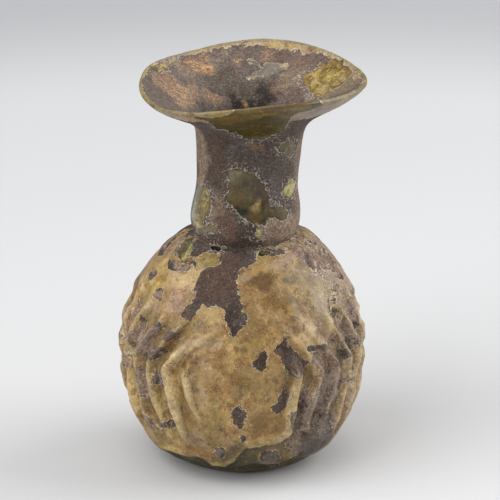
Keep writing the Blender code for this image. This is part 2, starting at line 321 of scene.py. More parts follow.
def signedDistance(outline, spread, rise, perSpread, perRise):  # mm inside an outline, less than 0 outside
    middle = (min(x for x, _ in outline) + max(x for x, _ in outline)) / 2.0
    sideways = turnedBy(spread, middle)  # in the funnel nothing is far enough to turn round
    reach = farOff / perSpread + max(x for x, _ in outline) - middle
    low, high = min(y for _, y in outline) - farOff, max(y for _, y in outline) + farOff
    near = np.flatnonzero((np.abs(sideways) < reach) & (rise > low) & (rise < high))
    x, y, across, up = sideways[near], rise[near], perSpread[near], perRise[near]
    nearest = np.full(len(near), np.inf)
    inside = np.zeros(len(near), bool)
    for (ax, ay), (bx, by) in zip(outline, outline[1:] + outline[:1]):
        ax, bx, ay, by = ax - middle - x, bx - middle - x, ay - y, by - y
        ux, uy = ax * across, ay * up
        dx, dy = (bx - ax) * across, (by - ay) * up
        along = np.clip(-(ux * dx + uy * dy) / np.maximum(dx * dx + dy * dy, 1e-9), 0.0, 1.0)
        nearest = np.minimum(nearest, np.hypot(ux + along * dx, uy + along * dy))
        crosses = (ay > 0.0) != (by > 0.0)
        meets = np.where(crosses, ax + (bx - ax) * ay / np.where(ay == by, 1.0, ay - by), -1.0)
        inside ^= meets > 0.0
    distance = np.full(len(spread), -farOff)
    distance[near] = np.where(inside, nearest, np.maximum(-nearest, -farOff))
    return distance


def deepest(outlines, inFunnel=False):  # mm inside the outline that each point is deepest in
    edge = np.full(len(points), -farOff)
    for outline in outlines:
        if inFunnel:  # these are in mm right and back, and their edges are torn
            distance = signedDistance(outline, right + tornRight, back + tornBack, alongPlan, alongPlan)
        else:  # and these in degrees round and mm up
            distance = signedDistance(outline, azimuth, height, alongRound, alongUp)
        edge = np.maximum(edge, distance)
    return edge


def strokeRelief(stroke, rise, width):  # a ridge along a line, highest in its middle, gone at its ends
    lengths = [0.0]
    for (a0, h0), (a1, h1) in zip(stroke, stroke[1:]):
        lengths.append(lengths[-1] + math.hypot((a1 - a0) * flaskForm["mmPerDegree"], h1 - h0))
    nearest = np.full(len(azimuth), np.inf)
    place = np.zeros(len(azimuth))
    for (a0, h0), (a1, h1), start, end in zip(stroke, stroke[1:], lengths, lengths[1:]):
        ux, uy = turnedBy(a0, azimuth) * alongRound, (h0 - height) * alongUp
        dx, dy = turnedBy(a1, azimuth) * alongRound - ux, (h1 - height) * alongUp - uy
        along = np.clip(-(ux * dx + uy * dy) / np.maximum(dx * dx + dy * dy, 1e-9), 0.0, 1.0)
        gap = np.hypot(ux + along * dx, uy + along * dy)
        place = np.where(gap < nearest, (start + along * (end - start)) / lengths[-1], place)
        nearest = np.minimum(nearest, gap)
    ends = shareOf(np.minimum(place, 1.0 - place), *flaskForm["ridgeEnds"])
    return rise * ends * bellOf(nearest, 0.0, width)


# How the picture sees the flask: mm, degrees, and px from its top left corner
pictureView = {
    "side": 500, "aim": (2.12, 0.0, 54.07), "tilt": 20.0, "distance": 1000.0, "lens": 286.56, "sensor": 36.0,
    # a mark just off the outline moves, by shares of the way, towards the middle for marks below its px line
    "middles": ((235, (250, 330)), (128, (248, 190)), (0, (252, 92))), "moves": 50, "moveShare": 0.01,
    # the funnel's inside starts here, and an outline that comes this near the lip goes on over it
    "funnelFrom": 80.0, "lipFrom": 99.0, "overLip": 102.0,
    # limits of a soft area's half sizes, in degrees and mm, and its height's scale where its ends aren't seen
    "leastHalf": (1.0, 0.6), "mostHalf": (60.0, 30.0), "mmPerPx": 0.27,
}
viewTilt = math.radians(pictureView["tilt"])
ahead = Vector((0.0, math.cos(viewTilt), -math.sin(viewTilt)))
upward = Vector((0.0, math.sin(viewTilt), math.cos(viewTilt)))
eye = Vector(pictureView["aim"]) - ahead * pictureView["distance"]
solidTree = BVHTree.FromPolygons([point.co * 1000.0 for point in solid.vertices],
                                 [tuple(face.vertices) for face in solid.polygons])


def seenAt(x, y):  # where a picture point lies on the solid, in mm, and the normal there
    focal = pictureView["side"] * pictureView["lens"] / pictureView["sensor"]
    centre = pictureView["side"] / 2.0
    ray = ahead + Vector((1.0, 0.0, 0.0)) * ((x - centre) / focal) - upward * ((y - centre) / focal)
    return solidTree.ray_cast(eye, ray.normalized())[:2]


def layOn(x, y, moves=True):  # its side, and its degrees round and mm up, or mm right and back in the funnel
    place, normal = seenAt(x, y)
    if moves and place is None:
        middleX, middleY = next(middle for line, middle in pictureView["middles"] if y > line)
        for step in range(1, pictureView["moves"] + 1):
            share = step * pictureView["moveShare"]
            place, normal = seenAt(x + (middleX - x) * share, y + (middleY - y) * share)
            if place is not None:
                break
    if place is None:
        return "nowhere", 0.0, 0.0
    toRight, toBack = (float(part[0]) for part in offAxis(np.array([place])))
    if normal.x * toRight + normal.y * toBack < 0.0 and place.z > pictureView["funnelFrom"]:
        return "funnel", round(toRight, 1), round(toBack, 1)
    return "outside", round(float(roundAt(toRight, toBack)), 1), round(place.z, 1)


def laidOutline(marks, side="outside"):  # an outline traced on the picture, laid on the flask
    laid = [(across, up) for found, across, up in (layOn(x, y) for x, y in marks) if found == side]
    if side == "funnel":
        return laid
    lip, over = pictureView["lipFrom"], pictureView["overLip"]
    return [(across, over if up > lip else up) for across, up in laid]


def laidArea(area, side):  # a soft area of colour on the picture: its middle and half sizes on the flask
    x, y, halfWide, halfHigh, name, strength = area
    _, across, up = layOn(x, y)
    sides = [layOn(x - halfWide, y, False), layOn(x + halfWide, y, False)]
    ends = [layOn(x, y - halfHigh, False), layOn(x, y + halfHigh, False)]
    wide = [abs(end[1] - across) for end in sides if end[0] == side]
    high = [abs(end[2] - up) for end in ends if end[0] == side]
    if not wide:  # both of its sides are off the outline
        inner = layOn(x - math.copysign(halfWide / 2.0, x - pictureView["side"] / 2.0), y)
        wide = [2.0 * abs(inner[1] - across)]
    high = high or [halfHigh * pictureView["mmPerPx"]]
    halves = np.clip((np.mean(wide), np.mean(high)), pictureView["leastHalf"], pictureView["mostHalf"])
    return across, up, round(float(halves[0]), 1), round(float(halves[1]), 1), name, strength


# What has become of the surface. The outlines of its front and its mouth were traced on the picture, in px.
flaskFinish = {
    "crustPatches": {  # burial crust on the body, where it broke through the film
        "main": [
            (222, 248), (221, 254), (220, 259), (221, 263), (219, 266), (213, 267), (207, 266), (203, 270),
            (200, 272), (198, 277), (196, 282), (195, 288), (196, 293), (195, 298), (194, 302), (191, 305),
            (187, 307), (183, 311), (180, 315), (181, 318), (184, 321), (188, 321), (191, 319), (194, 315),
            (197, 311), (199, 307), (203, 304), (206, 306), (210, 307), (214, 305), (219, 306), (223, 307),
            (225, 312), (225, 318), (227, 325), (230, 329), (231, 334), (233, 337), (236, 335), (240, 330),
            (245, 324), (248, 319), (246, 315), (242, 312), (243, 307), (240, 303), (240, 297), (238, 292),
            (238, 285), (236, 280), (238, 276), (239, 270), (241, 267), (245, 267), (250, 265), (254, 262),
            (257, 258), (257, 252), (262, 248), (240, 243),
        ],
        "midA": [
            (257, 353), (262, 351), (266, 352), (269, 358), (267, 361), (265, 367), (262, 371), (258, 370),
            (253, 367), (251, 366), (255, 361), (257, 357),
        ],
        "midB": [
            (286, 335), (284, 340), (281, 343), (277, 347), (275, 352), (278, 355), (281, 358), (283, 364),
            (285, 369), (289, 374), (293, 378), (297, 379), (301, 378), (304, 373), (307, 369), (310, 365),
            (307, 361), (303, 358), (298, 355), (293, 350), (289, 345), (286, 341),
        ],
        "midC": [(308, 347), (311, 345), (314, 346), (316, 350), (313, 353), (309, 352)],
        "midD": [
            (283, 391), (288, 390), (291, 394), (291, 399), (289, 404), (286, 408), (282, 412), (277, 414),
            (272, 411), (271, 407), (276, 404), (279, 399), (281, 394),
        ],
        "midE": [
            (240, 405), (243, 409), (246, 412), (247, 417), (244, 421), (243, 426), (240, 430), (237, 427),
            (234, 424), (232, 419), (231, 414), (233, 410), (237, 407),
        ],
        "dot": [(240, 438), (242, 436), (245, 436), (246, 438), (245, 441), (243, 442), (241, 441)],
        "round": [
            (214, 451), (216, 448), (220, 447), (224, 449), (226, 452), (225, 455), (221, 458), (217, 457),
            (214, 454),
        ],
        "baseA": [
            (264, 455), (270, 452), (278, 453), (282, 457), (284, 462), (280, 467), (272, 468), (266, 467),
            (262, 463), (262, 459),
        ],
        "shoulderDot": [(190, 262), (194, 261), (198, 263), (197, 268), (193, 267), (191, 265)],
        "greyA": [(152, 294), (157, 289), (162, 286), (164, 290), (162, 296), (159, 301), (155, 299)],
        "grooveA": [(135, 300), (137, 306), (136, 311), (133, 317), (130, 320), (131, 313), (133, 306)],
        "grooveB": [
            (140, 315), (141, 320), (140, 327), (138, 333), (135, 342), (133, 347), (128, 346), (126, 340),
            (127, 335), (132, 331), (135, 325), (138, 318),
        ],
        "grooveC": [
            (158, 321), (161, 325), (158, 330), (154, 334), (149, 338), (144, 341), (142, 339), (146, 335),
            (148, 330), (152, 325),
        ],
        "grooveD": [
            (146, 338), (148, 343), (149, 350), (146, 354), (141, 357), (137, 356), (135, 351), (136, 346),
            (139, 342), (143, 339),
        ],
        "grooveE": [
            (168, 331), (172, 331), (176, 335), (174, 339), (168, 341), (162, 341), (160, 339), (163, 335),
        ],
        "grooveF": [
            (158, 345), (161, 349), (163, 352), (160, 355), (155, 358), (150, 361), (147, 359), (148, 355),
            (152, 352), (155, 348),
        ],
        "limbA": [(120, 350), (124, 353), (127, 360), (127, 367), (122, 366)],
        "lowA": [
            (152, 372), (156, 372), (160, 376), (163, 380), (164, 386), (165, 391), (160, 390), (155, 386),
            (150, 383), (151, 378),
        ],
        "lowB": [
            (137, 368), (142, 371), (146, 378), (148, 385), (149, 392), (150, 398), (146, 400), (142, 398),
            (139, 393), (140, 388), (136, 381), (134, 375), (134, 370),
        ],
        "lowC": [(144, 413), (148, 417), (152, 424), (154, 432), (149, 428), (145, 422), (141, 418)],
        "lowD": [
            (155, 424), (160, 423), (166, 421), (171, 419), (174, 424), (175, 429), (168, 429), (162, 428),
            (157, 430),
        ],
        "rightLow": [
            (318, 345), (326, 343), (335, 349), (341, 356), (344, 366), (346, 378), (345, 392), (341, 402),
            (338, 412), (334, 424), (334, 436), (326, 446), (314, 454), (302, 460), (294, 461), (296, 452),
            (290, 448), (287, 440), (291, 433), (290, 424), (291, 414), (295, 407), (299, 399), (301, 392),
            (306, 387), (311, 389), (312, 395), (313, 402), (315, 394), (317, 389), (321, 382), (318, 377),
            (320, 370), (314, 366), (311, 361), (314, 356), (318, 352),
        ],
        "rightEdgeA": [
            (350, 360), (355, 362), (354, 372), (350, 386), (349, 400), (345, 408), (342, 405), (345, 395),
            (347, 384), (348, 370),
        ],
        "rightEdgeB": [(335, 362), (341, 352), (346, 344), (352, 352), (350, 360), (344, 366)],
        "rightUpA": [
            (327, 254), (333, 260), (338, 267), (343, 274), (346, 280), (343, 281), (338, 276), (334, 272),
            (331, 268), (328, 261),
        ],
        "rightUpB": [(333, 285), (337, 284), (341, 288), (339, 292), (335, 292), (332, 289)],
        "rightUpC": [
            (346, 300), (350, 309), (354, 319), (358, 329), (360, 337), (357, 339), (353, 329), (349, 317),
            (345, 306),
        ],
        "rightUpD": [
            (338, 318), (342, 326), (346, 334), (351, 342), (352, 348), (347, 346), (341, 338), (337, 330),
        ],
        "rightUpE": [(350, 284), (356, 300), (360, 316), (362, 330), (359, 330), (355, 314), (350, 298)],
        "shoulderLeft": [
            (196, 232), (190, 236), (184, 240), (180, 245), (178, 251), (177, 256), (174, 255), (175, 248),
            (178, 242), (184, 237), (191, 231),
        ],
        "shoulderMid": [
            (169, 258), (174, 260), (177, 264), (184, 264), (190, 262), (191, 268), (186, 271), (177, 271),
            (170, 270), (168, 265),
        ],
        "shoulderLow": [(147, 280), (149, 274), (154, 270), (158, 268), (157, 273), (152, 278), (149, 282)],
        "shoulderStrip": [
            (177, 231), (170, 238), (164, 246), (158, 255), (162, 256), (168, 248), (174, 240), (181, 233),
        ],
        "creaseLeft": [
            (196, 234), (204, 238), (212, 243), (224, 246), (224, 254), (212, 252), (205, 252), (199, 256),
            (194, 258), (190, 256), (192, 249), (194, 242),
        ],
        "creaseRight": [
            (262, 247), (272, 249), (281, 249), (288, 251), (284, 254), (277, 256), (271, 256), (266, 254),
            (258, 254),
        ],
        "creaseRightB": [
            (288, 244), (296, 246), (302, 250), (308, 253), (309, 257), (304, 260), (300, 258), (296, 256),
            (290, 252),
        ],
    },
    "barePatches": {  # clean glass, where crust and film have both come away
        "creaseSpotA": [
            (210, 247), (214, 246), (218, 246.5), (222, 248), (221, 251), (218, 252), (214, 250),
            (211, 250),
        ],
        "creaseSpotB": [(257, 253), (261, 251), (266, 251), (270, 252), (268, 255), (263, 256), (258, 256)],
        "shoulderYellow": [
            (194, 237), (192, 243), (192, 249), (189, 253), (186, 258), (181, 261), (178, 257), (178, 250),
            (181, 243), (186, 239),
        ],
        "window": [
            (228, 172), (232, 169), (238, 170), (243, 170), (245, 172), (249, 174), (254, 173), (257, 177),
            (262, 182), (265, 187), (267, 194), (268, 201), (269, 208), (270, 213), (268, 219), (267, 223),
            (262, 226), (258, 226), (254, 224), (249, 220), (244, 218), (241, 217), (238, 213), (236, 208),
            (232, 206), (229, 203), (227, 199), (226, 195), (229, 191), (230, 186), (229, 180),
        ],
        "windowArm": [
            (268, 206), (272, 208), (277, 208), (281, 206), (285, 208), (288, 211), (287, 217), (283, 221),
            (279, 220), (275, 218), (270, 218),
        ],
        "star": [
            (257, 228), (261, 228), (261, 232), (264, 237), (260, 236), (256, 237), (254, 236), (257, 232),
        ],
        "leftPane": [
            (199, 186), (205, 185), (208, 188), (210, 194), (211, 200), (211, 206), (210, 211), (207, 215),
            (204, 219), (203, 223), (206, 226), (211, 224), (215, 227), (219, 231), (216, 234), (210, 232),
            (204, 233), (201, 235), (196, 229), (193, 222), (191, 214), (192, 206), (194, 198), (196, 191),
        ],
        "rightPaneA": [
            (277, 149), (281, 145), (287, 142), (293, 142), (295, 147), (294, 154), (290, 156), (285, 153),
        ],
        "rightPaneB": [
            (293, 177), (296, 184), (295, 192), (291, 198), (285, 197), (281, 193), (285, 186), (289, 181),
        ],
        "flare": [
            (183, 116), (200, 117.5), (212, 118.5), (222, 117), (230, 115), (240, 111), (250, 107),
            (260, 105), (270, 104), (280, 104.5), (290, 105), (298, 105), (306, 105), (315, 104.5),
            (323, 105.5), (317, 108), (310, 110), (303, 112.5), (296, 114.5), (291, 117), (289, 121),
            (286, 126), (283, 130), (278, 133), (273, 135), (268, 137), (262, 139), (256, 139), (250, 139),
            (245, 138), (241, 137), (239, 134), (236, 132), (231, 133), (228, 130), (222, 129), (216, 129),
            (213, 125), (208, 122), (200, 120), (190, 118),
        ],
    },
    "mouthBare": {
        "bareLeft": [
            (152, 71), (149, 69), (151, 66), (155, 62), (162, 59), (170, 56), (177, 55), (178, 60),
            (175, 64), (170, 65), (167, 63), (166, 66), (169, 70), (171, 73), (165, 71), (160, 68),
            (158, 71),
        ],
        "ochreRight": [
            (318, 68), (325, 64), (332, 61), (340, 62), (347, 67), (351, 71), (350, 76), (345, 80),
            (340, 86), (333, 90), (326, 94), (320, 97), (314, 94), (308, 88), (303, 84), (300, 79),
            (305, 74), (312, 71),
        ],
    },
    "mouthFilm": {
        "greyGreen": [
            (247, 78), (250, 74), (256, 71), (262, 67), (268, 63), (275, 62), (283, 62), (289, 63),
            (287, 68), (280, 71), (274, 75), (262, 77), (253, 79),
        ],
        "greyGreenB": [(246, 62), (251, 60), (257, 61), (260, 64), (254, 66), (248, 65)],
        "backBand": [
            (196, 49), (215, 45), (235, 42), (255, 41), (275, 41), (300, 43), (320, 46), (336, 52),
            (350, 59), (360, 68), (365, 77), (364, 83), (358, 84), (356, 76), (350, 70), (345, 64),
            (336, 60), (330, 58), (327, 52), (318, 52), (309, 54), (304, 57), (301, 53), (297, 51),
            (291, 51), (285, 50), (280, 52), (276, 51), (272, 47), (262, 46), (250, 46), (238, 46),
            (228, 46), (222, 47), (212, 49), (204, 51),
        ],
    },
    # on the side that the picture doesn't show, in degrees round and mm up: a broad fall of crust, and
    # clean panes
    "crustBehind": [
        [(150, 59), (142, 52), (149, 44), (160, 40), (163, 33), (172, 31), (176, 39), (188, 41), (196, 47),
         (206, 52), (211, 59)],
        [(118, 59), (112, 54), (121, 51), (131, 54), (134, 59)],
        [(228, 59), (222, 53), (232, 47), (246, 50), (252, 55), (256, 59)],
        [(128, 3), (131, 10), (140, 15), (149, 12), (156, 17), (163, 9), (161, 2)],
        [(212, 3), (209, 12), (221, 18), (231, 11), (236, 4)],
    ],
    "panesBehind": [
        [(128, 66), (131, 74), (140, 79), (150, 76), (149, 68), (141, 63)],
        [(196, 72), (199, 82), (207, 84), (211, 77), (206, 70)],
        [(236, 63), (243, 67), (251, 65), (246, 61)],
        [(160, 92), (170, 96.5), (190, 97), (205, 94.5), (200, 90.5), (186, 89), (172, 89.5)],
    ],
    # and small patches there by chance, that lean with the ribs: degrees round, mm up, mm
    "chancePatches": {"count": 34, "turns": (84.0, 276.0), "rises": (7.0, 54.0), "apart": 4.6, "corners": 9,
                      "halfWide": (0.9, 2.4), "halfHigh": (1.6, 4.8), "upperLean": 30.0, "lowerLean": -12.0,
                      "roughness": (0.7, 1.2)},
    # the crust on the front's right, worn through on the ribs' crests
    "rightCrust": 5.85, "rightRough": (0.8, 7.0, 15), "rightSpan": (40.0, 52.0, 90.0, 110.0),
    "rightHeights": (8.0, 14.0), "shallowTurns": (30.0, 40.0), "shallowLoss": 4.6,
    "wornTurns": (34.0, 46.0), "crestLoss": 2.2, "crestMiddle": 0.55, "crestRough": (0.9, 5.0, 12),
    "creaseCrustFrom": 57.0, "neckCrustFrom": 60.0,
    # how far up the funnel's outside the crust reaches: degrees round, mm up
    "crustTop": [(-180, 90.5), (-90, 94.0), (-45, 95.0), (30, 94.0), (62, 94.0), (90, 92.0), (140, 90.0),
                 (180, 90.5)],
    # the lip's clean band inside the funnel: degrees round, mm wide
    "lipBand": [(-180, 0.9), (-150, 0.75), (-110, 0.35), (-60, 0.3), (40, 0.4), (90, 0.6), (150, 0.9),
                (180, 0.9)],
    # the rim's height is read every few degrees round; below the band the crust counts as this much deeper
    "rimStep": 5, "rimReach": 4.0, "lipSlope": 1.6,
    # edges in the funnel are torn: (mm, mm across)
    "tornEdge": ((1.1, 2.4), (0.5, 1.1)), "tornSeeds": (31, 32),
    # soft areas of colour drift: (mm, mm across, seed)
    "driftAround": ((2.2, 4.5, 1), (1.0, 1.7, 3)), "driftUp": ((2.2, 4.5, 2), (1.0, 1.7, 4)),
}

# Soft areas of colour, in the picture's px: middle, half width, half height, colour, strength.
# The first ones are on the outside, and the mouth's are in the funnel.
skinTones = {
    "film": {
        "start": "honey", "softness": 0.8, "mouthStart": "mouthCream", "mouthSoftness": 0.4,
        "areas": [
            (182, 280, 18, 14, "tan", 0.8), (155, 282, 11, 7, "yellow", 0.9),
            (175, 302, 9, 14, "pink", 0.8), (140, 288, 14, 12, "tan", 0.7),
            (150, 308, 12, 9, "paleTan", 0.55), (188, 300, 8, 12, "ochreTan", 0.6),
            (147, 296, 8, 9, "ochreTan", 0.6), (125, 322, 5, 26, "pink", 0.7),
            (168, 262, 7, 6, "yellow", 0.7), (170, 247, 9, 16, "pinkGrey", 0.9),
            (158, 258, 6, 9, "pinkTan", 0.7), (205, 254, 16, 6, "pinkGrey", 0.5),
            (158, 268, 8, 6, "yellowGreen", 0.5), (186, 266, 10, 6, "pinkGrey", 0.8),
            (210, 262, 11, 6, "olive", 0.95), (213, 320, 13, 11, "ochreTan", 0.6),
            (172, 326, 10, 6, "paleTan", 0.5), (185, 335, 12, 12, "ochreTan", 0.5),
            (203, 343, 20, 6, "pinkTan", 0.8), (165, 352, 14, 13, "ochreTan", 0.65),
            (185, 350, 10, 9, "paleTan", 0.35), (220, 363, 8, 7, "rust", 0.55),
            (205, 365, 8, 10, "pinkTan", 0.5), (196, 365, 8, 6, "ochre", 0.35),
            (172, 372, 7, 6, "yellow", 0.35), (203, 397, 5, 14, "pinkTan", 0.85),
            (188, 385, 7, 9, "paleTan", 0.5), (178, 400, 5, 22, "yellow", 0.35),
            (185, 412, 9, 16, "ochreTan", 0.55), (240, 385, 16, 9, "ochre", 0.55),
            (222, 392, 12, 8, "ochreTan", 0.5), (255, 398, 12, 9, "honey", 0.7),
            (215, 322, 16, 12, "ochreTan", 0.7), (176, 378, 8, 30, "yellow", 0.3),
            (262, 420, 15, 12, "ochre", 0.75), (260, 430, 13, 7, "rust", 0.35),
            (225, 378, 9, 6, "ochre", 0.4), (236, 370, 9, 8, "olive", 0.35),
            (245, 365, 7, 8, "ochre", 0.4), (215, 425, 10, 10, "olive", 0.35),
            (195, 440, 12, 9, "pinkGrey", 0.5), (186, 437, 6, 8, "greenGrey", 0.35),
            (215, 440, 8, 6, "olive", 0.5), (196, 452, 16, 5, "ochre", 0.75),
            (215, 463, 18, 5, "ochre", 0.5), (238, 452, 10, 8, "greenGrey", 0.85),
            # the dark greens and olives under the fold and at the foot are partly the dark glass and partly
            # painted shade
            (240, 463, 22, 7, "darkGreen", 0.8), (255, 448, 20, 8, "darkOlive", 0.75),
            (285, 452, 9, 10, "darkOlive", 0.8), (270, 466, 24, 6, "darkGreen", 0.7),
            (199, 458, 9, 4, "greenGrey", 0.7), (230, 440, 7, 5, "pinkTan", 0.4),
            (262, 279, 15, 9, "darkOchre", 0.9), (272, 300, 17, 12, "ochre", 0.7),
            (250, 302, 9, 14, "ochreTan", 0.5), (245, 275, 8, 8, "pinkGrey", 0.45),
            (262, 262, 9, 5, "olive", 0.55), (280, 261, 13, 8, "pinkGreyTan", 0.9),
            (290, 278, 12, 8, "greenGrey", 0.7), (296, 293, 9, 8, "oliveTan", 0.6),
            (291, 300, 7, 6, "brownGrey", 0.55), (300, 313, 10, 6, "ochre", 0.7),
            (299, 326, 12, 6, "pinkTan", 0.7), (273, 320, 6, 10, "greenGrey", 0.35),
            (255, 318, 8, 8, "ochre", 0.4), (255, 335, 16, 9, "ochreTan", 0.45),
            (268, 335, 5, 7, "pinkTan", 0.4), (313, 268, 12, 12, "pinkGreyTan", 0.5),
            (322, 258, 8, 12, "olive", 0.55), (325, 305, 8, 24, "yellowGreen", 0.75),
            (320, 310, 5, 8, "greenGrey", 0.55), (322, 333, 8, 8, "ochre", 0.8),
            (316, 293, 8, 8, "yellowGreen", 0.5), (340, 300, 10, 14, "yellow", 0.55),
            (331, 290, 5, 7, "paleTan", 0.7), (315, 326, 3, 7, "cream", 0.8),
            (292, 338, 9, 12, "ochre", 0.45), (309, 337, 9, 12, "tan", 0.5), (320, 345, 8, 6, "tan", 0.4),
            (303, 350, 6, 8, "ochreTan", 0.5), (283, 427, 9, 14, "ochre", 0.55),
            (293, 400, 5, 16, "ochreTan", 0.7), (313, 376, 9, 7, "ochreTan", 0.6),
            (306, 383, 5, 4, "tan", 0.6), (350, 300, 9, 26, "pinkGrey", 0.75),
            (343, 325, 7, 16, "olive", 0.45), (356, 335, 5, 14, "pinkRust", 0.6),
            (341, 360, 4, 8, "yellowGreen", 0.5), (355, 352, 6, 6, "yellowGreen", 0.5),
            (336, 275, 7, 12, "pinkGrey", 0.7), (344, 270, 10, 14, "pinkGrey", 0.6),
            (310, 240, 14, 9, "pinkGrey", 0.8), (300, 250, 8, 8, "rust", 0.4),
            (305, 255, 3, 4, "palePink", 0.8), (303, 263, 5, 5, "brownGrey", 0.7),
            (316, 244, 4, 6, "ochre", 0.4), (318, 275, 10, 14, "oliveTan", 0.5),
            (330, 262, 8, 10, "pinkGrey", 0.6), (304, 278, 8, 10, "greenGrey", 0.4),
            (330, 240, 14, 8, "pinkGrey", 0.7), (316, 113, 12, 6, "oliveTan", 0.6),
            (330, 108, 10, 5, "greenGrey", 0.4), (182, 277, 10, 10, "oliveTan", 0.4),
            (212, 320, 12, 10, "oliveTan", 0.45), (357, 385, 5, 20, "tanGrey", 0.8),
            (352, 398, 5, 12, "tan", 0.6), (338, 424, 4, 10, "paleTan", 0.8),
            (345, 405, 4, 8, "pinkRust", 0.6), (330, 400, 4, 5, "palePink", 0.5),
            (128, 392, 5, 14, "yellow", 0.7), (136, 398, 4, 10, "yellow", 0.6),
            (145, 405, 6, 7, "ochre", 0.8), (160, 405, 8, 12, "olive", 0.55),
            (163, 438, 9, 11, "olive", 0.8), (154, 400, 3, 12, "yellow", 0.6),
            (128, 360, 6, 12, "tan", 0.6), (138, 365, 8, 6, "pinkTan", 0.5),
            (123, 378, 3, 12, "pinkRust", 0.5), (146, 424, 4, 10, "yellowGreen", 0.4),
            (130, 408, 6, 6, "oliveTan", 0.5), (170, 440, 6, 10, "oliveTan", 0.5),
            (152, 342, 8, 8, "paleTan", 0.4), (130, 335, 3, 14, "paleTan", 0.6),
            (145, 330, 4, 14, "yellow", 0.35), (296, 165, 4, 26, "tanGrey", 0.9),
            (292, 222, 9, 16, "pinkGrey", 1), (330, 110, 30, 9, "pinkGrey", 0.9),
            (304, 117, 14, 7, "pinkGrey", 1), (308, 117, 16, 7, "crustViolet", 0.6),
            (330, 109, 14, 6, "crustViolet", 0.5), (190, 124, 8, 7, "pinkGrey", 0.9),
            (205, 122, 8, 3, "greenGrey", 0.5), (200, 112, 22, 4, "olive", 0.9),
        ],
        "mouthAreas": [
            (268, 70, 22, 9, "mouthGreyGreen", 1), (253, 63, 14, 7, "mouthGreyGreen", 1),
            (285, 46, 16, 4, "mouthYellow", 0.8), (245, 44, 20, 3, "mouthCream", 0.8),
            (312, 50, 14, 4, "mouthCream", 0.8), (345, 62, 16, 8, "mouthCream", 0.9),
            (358, 76, 8, 8, "mouthCream", 0.8), (215, 47, 14, 3, "mouthCream", 0.8),
            (148, 82, 6, 14, "mouthYellow", 0.5),
        ],
    },
    "crust": {
        "start": "crust", "softness": 0.5, "mouthStart": "mouthCrust", "mouthSoftness": 0.55,
        "areas": [
            (215, 285, 20, 18, "crustMid", 0.8), (232, 322, 10, 14, "crustDark", 0.7),
            (222, 262, 18, 12, "crustMid", 0.5), (187, 313, 6, 7, "crustMid", 0.6),
            (262, 361, 9, 9, "crustDark", 0.9), (284, 350, 9, 8, "crustDark", 0.9),
            (297, 368, 10, 9, "crustMid", 0.6), (279, 356, 5, 5, "crustRed", 0.6),
            (240, 417, 8, 12, "crustMid", 0.5), (281, 402, 9, 10, "crustMid", 0.4),
            (219, 452, 6, 5, "crustPale", 0.7), (271, 460, 11, 8, "crustGrey", 0.6),
            (158, 294, 7, 6, "crustPink", 0.9), (133, 308, 5, 10, "crustPink", 0.9),
            (134, 333, 7, 14, "crustPink", 0.9), (150, 331, 8, 9, "crustPink", 0.9),
            (142, 349, 7, 9, "crustPink", 0.85), (168, 336, 7, 5, "crustMid", 0.6),
            (155, 353, 7, 6, "crustMid", 0.7), (124, 359, 4, 8, "crustPink", 0.9),
            (158, 382, 7, 8, "crustMid", 0.5), (142, 384, 7, 14, "crustPink", 0.85),
            (147, 423, 6, 9, "crustPink", 0.6), (165, 425, 9, 5, "crustMid", 0.6),
            (300, 415, 9, 26, "crustMid", 0.7), (304, 400, 6, 10, "crustMid", 0.6),
            (310, 432, 10, 6, "crustOchre", 0.5), (318, 432, 16, 12, "crustGrey", 0.8),
            (303, 447, 14, 10, "crustPale", 0.6), (318, 444, 8, 8, "crustGrey", 0.6),
            (328, 368, 16, 16, "crustPink", 0.95), (335, 350, 12, 8, "crustOchre", 0.6),
            (325, 395, 12, 14, "crustPale", 0.9), (335, 408, 6, 10, "crustGrey", 0.6),
            (335, 422, 10, 16, "crustPale", 0.8), (309, 440, 6, 5, "crustDark", 0.4),
            (352, 372, 5, 14, "crustPink", 0.6), (338, 266, 12, 14, "crustPink", 0.95),
            (336, 288, 6, 6, "crustPink", 0.8), (352, 316, 9, 26, "crustPink", 0.95),
            (346, 335, 8, 12, "crustPink", 0.9), (315, 252, 10, 8, "crustPink", 0.8),
            (348, 385, 7, 22, "crustPink", 0.7), (180, 243, 10, 8, "crustPink", 0.9),
            (180, 266, 12, 6, "crustPink", 0.95), (166, 245, 8, 12, "crustPink", 0.9),
            (150, 276, 7, 6, "crustViolet", 0.9), (155, 266, 7, 8, "crustPink", 0.9),
            (205, 246, 10, 5, "crustMid", 0.6), (275, 252, 9, 4, "crustViolet", 0.9),
            (325, 441, 11, 8, "crustCool", 0.9), (334, 424, 7, 10, "crustCool", 0.6),
            (300, 441, 10, 7, "crustPink", 0.55), (312, 384, 8, 16, "crustPink", 0.5),
            (322, 360, 8, 12, "crustPink", 0.45), (308, 420, 8, 7, "crustSalmon", 0.5),
            (318, 428, 6, 5, "crustGrey", 0.8), (300, 253, 14, 10, "crustPink", 0.95),
            (322, 262, 12, 12, "crustPink", 0.8), (304, 260, 5, 6, "crustGrey", 0.7),
            (200, 150, 6, 28, "crustSalmon", 0.8), (197, 166, 2, 11, "crustRed", 0.9),
            (215, 150, 8, 20, "crustMid", 0.6), (240, 148, 14, 10, "crustCool", 0.8),
            (225, 172, 12, 14, "crustMid", 0.3), (268, 165, 14, 16, "crustCool", 0.45),
            (268, 155, 8, 6, "crustRed", 0.35), (222, 205, 10, 22, "crustMid", 0.5),
            (215, 210, 5, 16, "crustSalmon", 0.35), (228, 230, 12, 9, "crustRed", 0.5),
            (250, 232, 14, 8, "crustDark", 0.4), (275, 190, 9, 16, "crustViolet", 0.6),
            (285, 158, 6, 8, "crustCool", 0.5), (288, 228, 10, 14, "crustSalmon", 0.7),
            (297, 175, 4, 40, "crustSalmon", 0.4), (240, 243, 30, 5, "crustDark", 0.5),
            (255, 150, 10, 6, "crustOchre", 0.3), (205, 236, 12, 5, "crustMid", 0.7),
            (285, 242, 12, 5, "crustMid", 0.6),
        ],
        "mouthAreas": [
